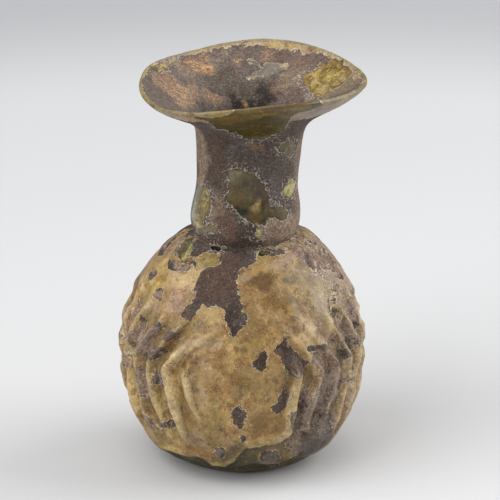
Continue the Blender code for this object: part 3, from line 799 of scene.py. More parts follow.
            (170, 86, 18, 9, "mouthSalmon", 0.85), (182, 98, 12, 10, "mouthSalmon", 0.8),
            (202, 69, 13, 7, "mouthOrange", 0.9), (190, 90, 10, 8, "mouthSalmon", 0.5),
            (206, 53, 6, 5, "mouthOrange", 0.6), (235, 62, 5, 5, "mouthOrange", 0.5),
            (160, 75, 12, 5, "mouthPink", 0.6), (185, 68, 8, 6, "mouthPink", 0.5),
            (190, 55, 12, 5, "mouthPink", 0.7), (212, 97, 8, 6, "mouthOrange", 0.35),
            (215, 62, 8, 5, "mouthPale", 0.5), (226, 52, 5, 5, "mouthPale", 0.4),
            (185, 73, 8, 5, "mouthPale", 0.35), (230, 85, 26, 14, "mouthGrey", 0.8),
            # the darkest areas deep in the funnel are painted shade
            (250, 100, 26, 8, "mouthShade", 0.95), (270, 90, 14, 12, "mouthShade", 0.8),
            (200, 105, 12, 4, "mouthShade", 0.5), (248, 97, 6, 3, "mouthOrange", 0.6),
            (290, 78, 16, 8, "mouthTan", 0.8), (276, 84, 10, 5, "mouthPink", 0.5),
            (300, 90, 12, 8, "mouthPurple", 0.8), (284, 96, 8, 6, "mouthPink", 0.4),
            (280, 57, 28, 6, "mouthPurple", 0.7), (318, 60, 10, 7, "mouthPurple", 0.5),
            (300, 66, 12, 6, "mouthPink", 0.6), (266, 55, 4, 5, "mouthSalmon", 0.5),
            (345, 86, 14, 7, "mouthPinkGrey", 0.9), (331, 94, 14, 4, "mouthPinkGrey", 0.7),
            (354, 76, 6, 6, "mouthSalmon", 0.8), (312, 96, 6, 4, "mouthPale", 0.7),
            (245, 50, 16, 4, "mouthPurple", 0.5),
        ],
    },
    "bare": {
        "start": "pane", "softness": 0.5, "mouthStart": "mouthOchre", "mouthSoftness": 0.3,
        "areas": [
            (216, 249, 8, 5, "paneGreen", 1), (264, 253, 9, 5, "paneGreen", 1),
            (300, 107, 12, 5, "paneOlive", 0.5), (210, 116, 16, 3, "flareYellow", 0.8),
            (240, 118, 12, 3, "flareYellow", 0.5), (236, 178, 7, 6, "panePale", 0.55),
            (231, 186, 3, 8, "panePale", 0.6), (237, 192, 6, 14, "paneOchre", 0.8),
            (246, 196, 5, 20, "paneOlive", 0.8), (257, 188, 7, 12, "paneBrown", 0.8),
            (257, 205, 5, 9, "paneTan", 0.9), (241, 209, 6, 7, "paneGreen", 0.9),
            (256, 220, 8, 5, "paneOchre", 0.8), (267, 219, 3, 6, "paneGreen", 0.7),
            (245, 181, 4, 6, "paneOlive", 0.5), (265, 200, 4, 12, "paneBrown", 0.7),
            (275, 213, 5, 5, "paneOlive", 0.6), (282, 214, 4, 5, "paneLight", 0.5),
            (286, 211, 2, 4, "paneGreen", 0.9), (260, 233, 6, 7, "paneStar", 1),
            (201, 208, 9, 22, "paneLight", 1), (206, 197, 4, 9, "paneStar", 0.3),
            (199, 222, 4, 7, "paneStar", 0.25), (193, 214, 2, 14, "panePale", 0.8),
            (210, 229, 7, 4, "paneLight", 0.9), (200, 192, 4, 6, "paneOlive", 0.4),
            (287, 149, 7, 6, "paneOlive", 0.8), (289, 188, 6, 9, "paneStar", 0.7),
            (250, 128, 40, 9, "flareDark", 1), (280, 108, 22, 4, "flareBrown", 0.9),
            (268, 116, 14, 3, "flareYellow", 0.6), (225, 122, 12, 5, "flareYellow", 0.5),
            (300, 109, 12, 4, "flareYellow", 0.5), (250, 112, 10, 4, "flareYellow", 0.4),
            (184, 247, 10, 14, "panePale", 0.55), (187, 249, 6, 10, "paneStar", 0.8),
        ],
        "mouthAreas": [
            (338, 67, 11, 6, "mouthOchre", 0.9), (320, 72, 8, 6, "mouthOchre", 0.5),
            (322, 78, 14, 6, "mouthYellow", 0.7), (312, 83, 9, 5, "mouthOchreDark", 0.5),
            (324, 90, 8, 5, "mouthYellow", 0.9), (333, 82, 8, 4, "mouthOchreDark", 0.5),
            (340, 76, 7, 5, "mouthYellow", 0.5), (341, 79, 4, 4, "mouthCream", 0.8),
            (330, 87, 5, 2.5, "mouthCream", 0.7), (317, 80, 5, 2.5, "mouthCream", 0.6),
            (326, 74, 7, 2, "mouthOchreDark", 0.8), (335, 86, 5, 2, "mouthOchreDark", 0.7),
            (309, 84, 4, 2, "mouthOchreDark", 0.8), (322, 94, 4, 2, "mouthCream", 0.7),
            (347, 70, 3, 5, "mouthOchre", 0.8), (163, 65, 14, 8, "mouthYellow", 0.8),
            (170, 71, 5, 3, "mouthOchreDark", 0.3),
        ],
    },
    # the film's colours, scattered by chance over the back: degrees and mm
    "behind": {
        "count": 90, "turns": (86.0, 274.0), "rises": (3.0, 57.0),
        "halfWide": (5.0, 16.0), "halfHigh": (2.5, 7.0), "strengths": (0.3, 0.8),
        "names": ("tan", "ochre", "ochreTan", "pinkTan", "pinkGrey", "olive", "oliveTan", "yellow", "ochre",
                  "paleTan"),
    },
    # green towards the foot, partly the dark glass and partly painted shade; grey on the right; painted shade
    # under the fold and a painted highlight along it
    "footShare": 0.85, "footRough": (1.5, 6.0, 22), "footFade": (8.5, 4.5),
    "greyShare": 0.85, "greySpan": (28.0, 48.0, 95.0, 120.0), "greyHeights": (3.0, 12.0),
    "greyMiddle": 0.75, "greyRough": (1.1, 4.0, 21),
    "shadeFade": (7.0, 0.5), "shadeMiddle": 0.75, "shadeRough": (0.5, 3.0, 23), "shadeMost": 0.9,
    "foldRise": 0.5, "foldWidth": 0.55, "foldMiddle": 0.6, "foldRough": (0.9, 3.5, 24), "foldMost": 0.9,
    # an olive line along the rim, and painted shade in the throat
    "rimFrom": 90.0, "rimOutside": 1.6, "rimInside": 0.75, "rimFade": 0.5, "rimShare": 0.85,
    "throatHeights": (78.0, 88.0), "throatShare": 0.8,
}
finishColours = {
    "honey": "#a88751", "tan": "#e0c090", "paleTan": "#bda386", "cream": "#e7cb9f", "pink": "#a17f6c",
    "palePink": "#dccab6", "pinkTan": "#ad906d", "pinkGrey": "#998474", "pinkRust": "#9b7068",
    "pinkGreyTan": "#a78e74", "ochreTan": "#8d6a35", "ochre": "#755622", "rust": "#795324",
    "darkOchre": "#54390d", "yellow": "#d7b568", "yellowGreen": "#c3b169", "olive": "#816c2e",
    "oliveTan": "#c5a963", "greenGrey": "#4e432a", "darkOlive": "#4d472a", "darkGreen": "#4b4628",
    "brownGrey": "#513f24", "tanGrey": "#d6c9ad",
    "crust": "#54463c", "crustMid": "#5d4536", "crustDark": "#332216", "crustRed": "#735042",
    "crustPale": "#a99586", "crustGrey": "#7e7265", "crustPink": "#b39580", "crustOchre": "#aa8756",
    "crustViolet": "#685e57", "crustCool": "#5a5652", "crustSalmon": "#aa9179",
    "pane": "#57492c", "panePale": "#787259", "paneOchre": "#5b4615", "paneOlive": "#4a421c",
    "paneBrown": "#44301d", "paneTan": "#8a734b", "paneGreen": "#1e1f0f", "paneLight": "#6e5f42",
    "paneStar": "#b3a968", "paintedFoldHighlight": "#b9a56c", "flareDark": "#4c4011", "flareBrown": "#61451d",
    "flareYellow": "#7b6526",
    "mouthCrust": "#6f6157", "mouthSalmon": "#ba9773", "mouthOrange": "#d9a976", "mouthPink": "#8a6d59",
    "mouthPale": "#ad967e", "mouthGrey": "#574c40", "mouthShade": "#291d17", "mouthTan": "#9b886e",
    "mouthPurple": "#755e4f", "mouthPinkGrey": "#8d7b61", "mouthOchre": "#7b6031",
    "mouthOchreDark": "#7a6331", "mouthYellow": "#a68e49", "mouthGreyGreen": "#6a6358",
    "mouthCream": "#a7906e", "darkGlassAndShade": "#35321c", "rimOlive": "#857a58",
}


def srgbToLinear(colour):
    parts = [int(colour[at:at + 2], 16) / 255.0 for at in (1, 3, 5)]
    return tuple(p / 12.92 if p <= 0.04045 else ((p + 0.055) / 1.055) ** 2.4 for p in parts)


def tinted(colour, name, share):  # a named colour laid over the others, as thick as share says, 0 to 1
    share = np.asarray(share, float)[:, None]
    return colour * (1.0 - share) + np.array(srgbToLinear(finishColours[name])) * share


# Ribs along their true curve, the fold, and the listed ridges
form = flaskForm
sway = wavering(*form["sway"]) * form["swayRadius"] / np.maximum(radius, form["swayLeastRadius"])
relief, ribShare, ribbed = ribRelief(azimuth + sway, height)
foldAt = np.interp(azimuth, *zip(*form["fold"]))
foldSpan = spanOf(azimuth, form["foldSpan"])
underFold = shareOf(foldAt - height, *form["underEdge"]) * foldSpan
fold = form["foldHeight"] * bellOf(height, foldAt + form["foldRise"], form["foldWidth"]) * foldSpan
fold -= form["foldDepth"] * underFold * shareOf(height, *form["foldFoot"])
uneven = np.clip(1.0 + wavering(form["unevenness"]), *form["unevenLimits"])
ridges = np.max([strokeRelief(*ridge) for ridge in flaskRidges], axis=0) * isBody
crests = np.clip((ribShare + ridges / form["ridgeFull"]) * isBody, 0.0, 1.0)
tornRight, tornBack = (wavering(*((amount, size, seed) for amount, size in flaskFinish["tornEdge"]))
                       for seed in flaskFinish["tornSeeds"])


def chanceOutlines():  # patches like the front's, for the side that the picture doesn't show
    sizes = flaskFinish["chancePatches"]
    placed, outlines = [], []
    while len(placed) < sizes["count"]:
        turn = random.uniform(*sizes["turns"])
        rise = random.uniform(*sizes["rises"])
        gaps = [math.hypot((turn - t) * flaskForm["mmPerDegree"], rise - r) for t, r in placed]
        if all(gap > sizes["apart"] for gap in gaps):
            placed.append((turn, rise))
            halfWide, halfHigh = random.uniform(*sizes["halfWide"]), random.uniform(*sizes["halfHigh"])
            most = sizes["upperLean"] if rise > flaskForm["bellyHeight"] else sizes["lowerLean"]
            lean = math.radians(most) * math.sin(math.radians(2.0 * turn))
            outline = []
            for corner in range(sizes["corners"]):
                part = math.tau * corner / sizes["corners"]
                rough = random.uniform(*sizes["roughness"])
                x, y = halfWide * rough * math.cos(part), halfHigh * rough * math.sin(part)
                x, y = x * math.cos(lean) - y * math.sin(lean), x * math.sin(lean) + y * math.cos(lean)
                outline.append((turn + x / flaskForm["mmPerDegree"], rise + y))
            outlines.append(outline)
    return outlines


# Where the crust lies, as mm inside its edge
finish = flaskFinish
crustOutlines = [laidOutline(marks) for marks in finish["crustPatches"].values()]
crustEdge = deepest(crustOutlines + chanceOutlines() + finish["crustBehind"])
rightSide = spanOf(azimuth, finish["rightSpan"]) * shareOf(height, *finish["rightHeights"])
rightEdge = (finish["rightCrust"] + wavering(finish["rightRough"])) * rightSide - farOff
crustEdge = np.where(isBody, np.maximum(crustEdge, rightEdge), crustEdge)
shallow = shareOf(azimuth, *finish["shallowTurns"]) * isBody
crustEdge = np.minimum(crustEdge, farOff - finish["shallowLoss"] * shallow)
wornCrests = crests * shareOf(azimuth, *finish["wornTurns"]) * isBody
crustEdge -= finish["crestLoss"] * wornCrests * (finish["crestMiddle"] + wavering(finish["crestRough"]))
overCrease = np.maximum(crustEdge, height - form["creaseHeight"])
crustEdge = np.where(height > finish["creaseCrustFrom"], overCrease, crustEdge)
upToTop = np.minimum(crustEdge, np.interp(azimuth, *zip(*finish["crustTop"])) - height)
crustEdge = np.where(height > finish["neckCrustFrom"], upToTop, crustEdge)

# Where the glass is bare, and both inside the funnel
bareEdge = deepest([laidOutline(marks) for marks in finish["barePatches"].values()] + finish["panesBehind"])
mouthBare = deepest([laidOutline(marks, "funnel") for marks in finish["mouthBare"].values()], True)
mouthFilm = deepest([laidOutline(marks, "funnel") for marks in finish["mouthFilm"].values()], True)
rimTurns = range(-180, 181, finish["rimStep"])
rimHeights = [height[isOutside & (np.abs(turnedBy(azimuth, turn)) < finish["rimReach"])].max()
              for turn in rimTurns]
fromRim = np.interp(azimuth, rimTurns, rimHeights) - height
lipBand = np.interp(azimuth, *zip(*finish["lipBand"]))
mouthCrust = np.minimum(np.minimum((fromRim - lipBand) * finish["lipSlope"], farOff), -mouthFilm)
crustEdge = np.select([inMouth, isOutside], [mouthCrust, crustEdge], -farOff)
bareEdge = np.select([inMouth, isOutside], [mouthBare, bareEdge], -farOff)
print("surface areas placed")


driftAround = wavering(*finish["driftAround"])
driftUp = wavering(*finish["driftUp"])
driftedTurn = azimuth + driftAround / np.maximum(alongRound, 0.05)  # in degrees, also near the axis


def blendTones(colour, areas, softness, inFunnel=False):
    for across, up, halfWide, halfHigh, name, strength in areas:
        if inFunnel:
            apart = np.hypot((right + driftAround - across) / halfWide, (back + driftUp - up) / halfHigh)
        else:
            apart = np.hypot(turnedBy(driftedTurn, across) / halfWide, (height + driftUp - up) / halfHigh)
        weight = strength * shareOf(1.0 + softness / 2.0 - apart, 0.0, softness)
        colour = tinted(colour, name, weight * (inMouth if inFunnel else isOutside))
    return colour


def paintTones(kind):  # a finish's colours on the outside, and then in the funnel
    tones = skinTones[kind]
    colour = tinted(np.zeros((len(points), 3)), tones["start"], np.ones(len(points)))
    colour = blendTones(colour, [laidArea(area, "outside") for area in tones["areas"]], tones["softness"])
    colour = tinted(colour, tones["mouthStart"], inMouth)
    mouthAreas = [laidArea(area, "funnel") for area in tones["mouthAreas"]]
    return blendTones(colour, mouthAreas, tones["mouthSoftness"], True)


def chanceAreas():
    sizes = skinTones["behind"]
    areas = []
    for _ in range(sizes["count"]):
        name = random.choice(sizes["names"])
        places = [random.uniform(*sizes[key]) for key in ("turns", "rises", "halfWide", "halfHigh")]
        areas.append((*places, name, random.uniform(*sizes["strengths"])))
    return areas


def roughShare(middle, rough, most=1.0):  # an uneven share from 0 to most
    return np.clip(middle + wavering(rough), 0.0, most)


tones = skinTones
filmTone = blendTones(paintTones("film"), chanceAreas(), tones["film"]["softness"])
# painted shade low down: darker and greener towards the foot, partly the dark glass itself
footEnd, footFull = tones["footFade"]
nearFoot = tones["footShare"] * shareOf(height + wavering(tones["footRough"]), footEnd, footFull)
filmTone = tinted(filmTone, "darkGlassAndShade", nearFoot * isOutside)
greyed = tones["greyShare"] * spanOf(azimuth, tones["greySpan"]) * shareOf(height, *tones["greyHeights"])
greyed *= roughShare(tones["greyMiddle"], tones["greyRough"])
filmTone = tinted(filmTone, "pinkGrey", greyed * isOutside)
# painted shade under the fold, in the dark glass and shade colour
shaded = underFold * shareOf(foldAt - height, *tones["shadeFade"])
shaded *= roughShare(tones["shadeMiddle"], tones["shadeRough"], tones["shadeMost"])
filmTone = tinted(filmTone, "darkGlassAndShade", shaded * isOutside)
# a painted highlight along the fold's lip
foldHighlight = bellOf(height, foldAt + tones["foldRise"], tones["foldWidth"]) * foldSpan
foldHighlight *= roughShare(tones["foldMiddle"], tones["foldRough"], tones["foldMost"])
filmTone = tinted(filmTone, "paintedFoldHighlight", foldHighlight * isOutside)
rimWidth = np.where(isOutside, tones["rimOutside"], tones["rimInside"])
rimLine = tones["rimShare"] * shareOf(rimWidth - fromRim, 0.0, tones["rimFade"]) * (height > tones["rimFrom"])
filmTone = tinted(filmTone, "rimOlive", rimLine)
# painted shade in the throat, deep in the funnel
throatLow, throatHigh = tones["throatHeights"]
throat = tones["throatShare"] * shareOf(height, throatHigh, throatLow) * inMouth
crustTone = tinted(paintTones("crust"), "mouthShade", throat)
bareTone = paintTones("bare")
print("colours placed")

# The relief is cut
keep = shareOf(height, *form["keepFoot"]) * (1.0 - shareOf(height, *form["keepCrease"]))
trueRadius = bodyRadius(height) + (relief - form["grooveDepth"] * (ribbed - ribShare)) * uneven + fold
outward = np.where(isBody, (trueRadius - radius) * keep, 0.0)
innerLow, innerHigh = form["innerHeights"]
isInside = ~isBody & (height > innerLow) & (height < innerHigh) & (radius > form["innerRadius"])
pushedIn = np.minimum(fold, 0.0) - form["innerRibs"] * ribbed  # the wall is pushed in right through
outward = np.where(isInside, pushedIn, outward)
fromFront = np.abs(azimuth)
calm = 1.0 - form["calmShare"] * bellOf(fromFront, form["calmTurn"], form["calmWidth"])
dents = wavering(*form["dents"]) * calm * np.where(isBody, keep, form["mouthRelief"])
onNeck = np.where(height < form["neckFrom"], 1.0, form["neckCrustShare"])
crustLift = form["crustHeight"] * shareOf(crustEdge, *form["crustRise"]) * onNeck
paneSink = form["paneDepth"] * shareOf(bareEdge, *form["paneRise"])
alongNormal = form["ridgeLift"] * ridges + dents + (crustLift - paneSink) * (height > form["skinFrom"])
sideDents = np.clip(wavering(form["sideDent"]) + form["sideDentStart"], 0.0, 1.0)
sideDents *= spanOf(fromFront, form["sideTurns"]) * spanOf(height, form["sideHeights"])
alongNormal -= form["sideDentDepth"] * sideDents
alongNormal *= (isOutside | inMouth) * shareOf(height, *form["footRelief"])
direction = np.stack([right, back, np.zeros(len(points))], axis=1) / np.maximum(radius, 0.01)[:, None]
shaped = points + direction * outward[:, None]
writePoints(flask.data, shaped)
shaped += readNormals(flask.data) * alongNormal[:, None]
boxGap = 0.005  # mm that the flask keeps inside the solid's box
boxLow, boxHigh = (1000.0 * np.array(corner) for corner in (cadLow, cadHigh))
writePoints(flask.data, np.clip(shaped, boxLow + boxGap, boxHigh - boxGap))
print("relief made")


def addAttribute(mesh, name, kind, values):
    layer = mesh.attributes.new(name, kind, "POINT")
    if kind == "FLOAT_COLOR":
        values = np.concatenate([values, np.ones((len(values), 1))], axis=1)
    key = {"FLOAT": "value", "FLOAT_VECTOR": "vector", "FLOAT_COLOR": "color"}[kind]
    layer.data.foreach_set(key, values.astype(np.float32).ravel())


# A point's place in a rib's own run, squeezed along it, so that strands drawn there follow the ribs
column = np.radians(straighten(azimuth, height))
squeeze = 0.28
ribFlow = np.stack([radius * np.sin(column), radius * np.cos(column), height * squeeze], axis=1) / 1000.0
toldTo = 4.0  # mm from an edge, as far as the material has to know it
offRibs = 0.45  # how near a crest the neck and the mouth count as, so that they are coloured evenly
for name, kind, values in (
    ("crustEdge", "FLOAT", np.clip(crustEdge, -toldTo, toldTo)),
    ("bareEdge", "FLOAT", np.clip(bareEdge, -toldTo, toldTo)),
    ("ridgeShare", "FLOAT", np.where(isBody, crests, offRibs)), ("ribbed", "FLOAT", ribbed * isBody),
    ("filmTone", "FLOAT_COLOR", filmTone), ("crustTone", "FLOAT_COLOR", crustTone),
    ("bareTone", "FLOAT_COLOR", bareTone), ("ribFlow", "FLOAT_VECTOR", ribFlow),
):
    addAttribute(flask.data, name, kind, values)


def addNode(tree, kind, settings=None, **links):
    made = tree.nodes.new("ShaderNode" + kind)
    for name, value in (settings or {}).items():
        if isinstance(name, int) or name in made.inputs:
            made.inputs[name].default_value = value
        else:
            setattr(made, name, value)
    for name, source in links.items():
        key = int(name[1:]) if name[0] == "_" and name[1:].isdigit() else name.replace("_", " ")
        tree.links.new(source, made.inputs[key])
    return made


# The glass's patterns: mm across, detail, roughness, m that the noise is moved by, how bent it is
glassPatterns = {
    "tears": (1.5, 5.0, 0.65, 0.0, 0.0), "fineTears": (0.5, 2.0, 0.55, 0.0, 0.0),
    "clouds": (7.0, 4.0, 0.6, 0.013, 0.0), "greenish": (4.6, 4.0, 0.6, 0.091, 0.0),
    "rusty": (4.0, 4.0, 0.6, 0.127, 0.0), "blotches": (2.8, 4.0, 0.6, 0.029, 0.0),
    "wisps": (1.6, 4.0, 0.6, 0.051, 1.4), "mottling": (0.8, 5.0, 0.78, 0.097, 0.0),
    "stipple": (0.36, 1.0, 0.5, 0.041, 0.0), "flecks": (0.5, 2.0, 0.5, 0.083, 0.0),
    "strands": (1.0, 5.0, 0.65, 0.0, 0.8), "shreds": (0.55, 5.0, 0.8, 0.033, 1.0),
    "grains": (0.35, 3.0, 0.75, 0.017, 0.0), "pits": (0.9, 4.0, 0.75, 0.023, 0.0),
    "specks": (0.5, 2.0, 0.5, 0.037, 0.0), "rusts": (2.6, 3.0, 0.6, 0.047, 0.0),
    "streaks": (3.0, 4.0, 0.6, 0.053, 0.0), "lips": (1.1, 4.0, 0.65, 0.061, 0.0),
    "crumples": (2.4, 3.0, 0.5, 0.071, 0.0),
}
glassFinish = {
    # how ragged the crust's edge is, in mm: by tears, by fine tears and by strands on the ribs
    "tearDepth": 3.0, "fineTearDepth": 0.8, "strandDepth": 2.2, "bareRaggedness": 0.8, "edgeSoftness": 0.04,
    "filmRoughness": (0.38, 0.56), "crustRoughness": 0.8, "glassRoughness": 0.2, "bend": 1.5,
    # fine relief in mm, and how much of the skin's is left on bare glass
    "crumpleHeight": 0.34, "wispHeight": 0.12, "mottlingHeight": 0.03, "strandHeight": 0.45,
    "grainHeight": 0.16, "pitHeight": 0.30, "crustStep": 0.12, "bareRelief": 0.15,
}

# Weathered soda-lime glass, blown in a mould: its skin has turned to a satin, honey-coloured film, burial
# crust sits on it dull and grainy, and where both are gone the glass shines, opaque here, dark of itself and
# with painted shade of the hollow behind it.
weatheredGlass = bpy.data.materials.new("weathered soda-lime glass")
weatheredGlass.use_nodes = True
glassTree = weatheredGlass.node_tree
glassTree.nodes.clear()
glassPlace = addNode(glassTree, "TexCoord").outputs["Object"]
glassParts = {}  # the patterns and the mesh's attributes, which the functions below take by name


def sourceOf(part):
    return glassParts[part] if isinstance(part, str) else part


def fed(made, keys, parts):  # plugs in sources, and writes in numbers and hex colours
    for key, part in zip(keys, parts):
        if isinstance(part, str) and part.startswith("#"):
            made.inputs[key].default_value = (*srgbToLinear(part), 1.0)
        elif isinstance(part, (int, float)):
            made.inputs[key].default_value = part
        else:
            glassTree.links.new(sourceOf(part), made.inputs[key])
    return made


def worked(operation, *parts):  # on the first two parts, then on that and the next, and so on
    result = parts[0]
    for part in parts[1:]:
        result = fed(addNode(glassTree, "Math", {"operation": operation}), (0, 1), (result, part)).outputs[0]
    return result


def plus(*parts):
    return worked("ADD", *parts)


def times(*parts):
    return worked("MULTIPLY", *parts)


def farFrom(value, middle):
    return worked("ABSOLUTE", plus(value, -middle), 0.0)


def ranged(value, low, high, toLow=0.0, toHigh=1.0):
    settings = {"interpolation_type": "SMOOTHSTEP", "From Min": low, "From Max": high,
                "To Min": toLow, "To Max": toHigh}
    return addNode(glassTree, "MapRange", settings, Value=sourceOf(value)).outputs["Result"]


def lightness(colour, dark, light):  # 0 for a dark area, 1 for a light one
    return ranged(addNode(glassTree, "RGBToBW", Color=sourceOf(colour)).outputs["Val"], dark, light)


def mixed(a, b, share, way="MIX"):
    made = addNode(glassTree, "Mix", {"data_type": "RGBA", "blend_type": way})
    return fed(made, (0, 6, 7), (share, a, b)).outputs[2]


def blended(a, b, share):
    return fed(addNode(glassTree, "Mix", {"data_type": "FLOAT"}), (0, 2, 3), (share, a, b)).outputs[0]


def layered(colour, *layers):  # tints over a colour, each from where a pattern starts to where it is full
    for tint, pattern, start, full, share, *where in layers:
        colour = mixed(colour, tint, times(ranged(pattern, start, full, 0.0, share), *where))
    return colour


def readAttribute(name, output):
    return addNode(glassTree, "Attribute", {"attribute_name": name}).outputs[output]


def patternOf(name):  # the strands run along the ribs, and the others lie in the flask's own space
    size, detail, roughness, shift, bend = glassPatterns[name]
    move = {"operation": "ADD", 1: (shift, shift * 0.7, -shift)}
    seat = addNode(glassTree, "VectorMath", move, _0=glassPlace).outputs[0]
    if name == "strands":
        seat = readAttribute("ribFlow", "Vector")
    settings = {"Scale": 1000.0 / size, "Detail": detail, "Roughness": roughness, "Distortion": bend}
    return addNode(glassTree, "TexNoise", settings, Vector=seat).outputs["Fac"]


for name in ("crustEdge", "bareEdge", "ridgeShare", "ribbed"):
    glassParts[name] = readAttribute(name, "Fac")
for name in ("filmTone", "crustTone", "bareTone"):
    glassParts[name] = readAttribute(name, "Color")
for name in glassPatterns:
    glassParts[name] = patternOf(name)


def raggedEdges():  # the crust's and the panes' edges, torn, and frayed along the ribs
    finish = glassFinish
    ragged = plus(times(plus("tears", -0.5), finish["tearDepth"]),
                  times(plus("fineTears", -0.5), finish["fineTearDepth"]),
                  times(plus("strands", -0.5), "ribbed", finish["strandDepth"]))
    return plus("crustEdge", ragged), plus("bareEdge", times(ragged, finish["bareRaggedness"]))


def paintFilm(crustIn):  # clouds of colour, plainer where it is dark, streaked on the ribs, and dark stipple
    lit = lightness("filmTone", 0.03, 0.25)
    ribLit = times(lit, "ribbed")
    colour = layered(
        "filmTone",
        ("#a08c3c", "greenish", 0.52, 0.64, 0.45, lit), ("#84501a", "rusty", 0.51, 0.65, 0.55, lit),
        ("#c4a674", "blotches", 0.55, 0.66, 0.4, lit), ("#5a3e16", "blotches", 0.46, 0.35, 0.6, lit),
        ("#d2bb90", "wisps", 0.58, 0.68, 0.35, lit), ("#dcc9a2", "strands", 0.55, 0.62, 0.55, ribLit),
        ("#5c4724", "strands", 0.46, 0.39, 0.55, ribLit), ("#e4d5b4", "shreds", 0.57, 0.63, 0.55, ribLit),
        # paler on the crests, where the film is worn; darker in the grooves, partly dirt and partly painted
        # shade
        ("#d8c194", "ridgeShare", 0.5, 1.0, 0.42, lit), ("#5f451a", "ridgeShare", 0.35, 0.0, 0.12, lit),
        ("#5a4620", "ridgeShare", 0.5, 0.05, 0.4, ribLit),
    )
    shade = times(ranged("mottling", 0.32, 0.68, 0.76, 1.22), ranged("clouds", 0.35, 0.65, 1.15, 0.86))
    dotted = worked("MAXIMUM", ranged("rusty", 0.5, 0.6, 0.04, 0.8), ranged(crustIn, -1.7, -0.2, 0.0, 0.75))
    return layered(
        mixed(colour, shade, 1.0, "MULTIPLY"),
        ("#33200e", "stipple", 0.57, 0.64, 0.85, dotted), ("#e2d3bb", "flecks", 0.68, 0.73, 0.6),
    )


def paintCrust(bareIn):  # rusty and grey areas, sandy grains and pits, pale streaks on the ribs, and specks
    colour = layered(
        "crustTone",
        ("#5c3524", "rusts", 0.54, 0.66, 0.4), ("#75665a", "rusts", 0.46, 0.36, 0.35),
        ("#6a5447", "wisps", 0.46, 0.58, 0.6, lightness("crustTone", 0.12, 0.3)),
    )
    shade = times(ranged("grains", 0.34, 0.68, 0.45, 1.45), ranged("pits", 0.34, 0.6, 0.6, 1.12))
    return layered(
        mixed(colour, shade, 1.0, "MULTIPLY"),
        ("#a08e7c", "ridgeShare", 0.55, 1.0, 0.35), ("#b3a490", "strands", 0.54, 0.62, 0.6, "ribbed"),
        ("#3f342c", "strands", 0.46, 0.4, 0.3, "ribbed"), ("#c6b49d", "shreds", 0.55, 0.61, 0.7, "ribbed"),
        ("#a8704f", "shreds", 0.45, 0.4, 0.6, ranged("rusts", 0.5, 0.57), "ribbed"),
        ("#b3a595", "specks", 0.64, 0.72, 0.5),
        ("#bdb2a4", "specks", 0.56, 0.61, 0.7, ranged(bareIn, -2.6, -0.4)),
    )


# the bare glass is opaque: its dark panes are partly the glass's own colour and partly painted shade of the
# hollow behind, and its pale ones partly painted light shining through
def paintBare():  # faint streaks, and flecks of iridescence where it is light
    colour = layered(
        "bareTone",
        ("#231e0f", "streaks", 0.48, 0.32, 0.55), ("#8e8460", "streaks", 0.56, 0.7, 0.4),
    )
    lit = lightness("bareTone", 0.09, 0.16)
    return layered(
        mixed(colour, ranged("mottling", 0.3, 0.7, 0.7, 1.3), 1.0, "MULTIPLY"),
        ("#c2ae62", "wisps", 0.54, 0.6, 0.6, lit), ("#5f4513", "wisps", 0.47, 0.4, 0.65, lit),
    )


def joinColours(crustIn, bareIn, crustMask, bareMask):
    # thin pale lips where film and crust break off, and a shadow inside a pane's edge
    patchy = ranged("lips", 0.42, 0.54)
    colour = layered(paintFilm(crustIn), ("#dccbad", farFrom(crustIn, -0.12), 0.15, 0.03, 0.8, patchy))
    colour = mixed(colour, paintCrust(bareIn), crustMask)
    colour = layered(colour, ("#c2b8a6", farFrom(bareIn, -0.14), 0.16, 0.03, 0.85, patchy))
    colour = mixed(colour, paintBare(), bareMask)
    return layered(colour, ("#211a10", farFrom(bareIn, 0.12), 0.2, 0.02, 0.45))


def fineRelief(crustMask, bareMask):  # in mm: a crumpled skin, the crust's grit and its step
    finish = glassFinish
    skin = plus(
        times("crumples", finish["crumpleHeight"]), times("wisps", finish["wispHeight"]),
        times("mottling", finish["mottlingHeight"]), times("strands", "ribbed", finish["strandHeight"]),
    )
    grains, pits = times("grains", finish["grainHeight"]), times("pits", finish["pitHeight"])
    grit = plus(grains, pits, finish["crustStep"])
    covered = times(plus(skin, times(grit, crustMask)), worked("SUBTRACT", 1.0, bareMask))
    return plus(covered, times(skin, finish["bareRelief"]))


def makeWeatheredGlass():
    finish = glassFinish
    crustIn, bareIn = raggedEdges()
    soft = finish["edgeSoftness"]
    crustMask, bareMask = ranged(crustIn, -soft, soft), ranged(bareIn, -soft, soft)
    satin = ranged("blotches", 0.3, 0.7, *finish["filmRoughness"])
    rough = blended(blended(satin, finish["crustRoughness"], crustMask), finish["glassRoughness"], bareMask)
    relief = fineRelief(crustMask, bareMask)
    bump = addNode(glassTree, "Bump", {"Strength": 1.0, "Distance": 0.001}, Height=relief)
    colour = joinColours(crustIn, bareIn, crustMask, bareMask)
    settings = {"IOR": finish["bend"], "Metallic": 0.0, "Alpha": 1.0}
    shader = addNode(glassTree, "BsdfPrincipled", settings, Base_Color=colour, Roughness=rough,
                     Normal=bump.outputs["Normal"])
    addNode(glassTree, "OutputMaterial", Surface=shader.outputs["BSDF"])


makeWeatheredGlass()
flask.data.materials.append(weatheredGlass)
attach(flask, "root")
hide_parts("flask")
print("flask finished:", sum(len(face.vertices) - 2 for face in flask.data.polygons), "triangles")

# A pale seamless floor that curves up far behind, in m, and the greys of a painted falloff of light on it,
# from the middle outwards
stageFloor = {
    "halfWidth": 2.4, "front": -2.0, "curveStart": 1.5, "curveRadius": 0.5, "curveSteps": 12, "top": 1.4,
    "paintedFalloffGreys": ((0.0, "#d2d2d2"), (0.18, "#d2d2d2"), (0.48, "#cecece"), (0.68, "#b5b5b7"), (1.0, "#99999c")),
    "paintedFalloffReach": 0.6, "roughness": 0.9, "specular": 0.2,
}


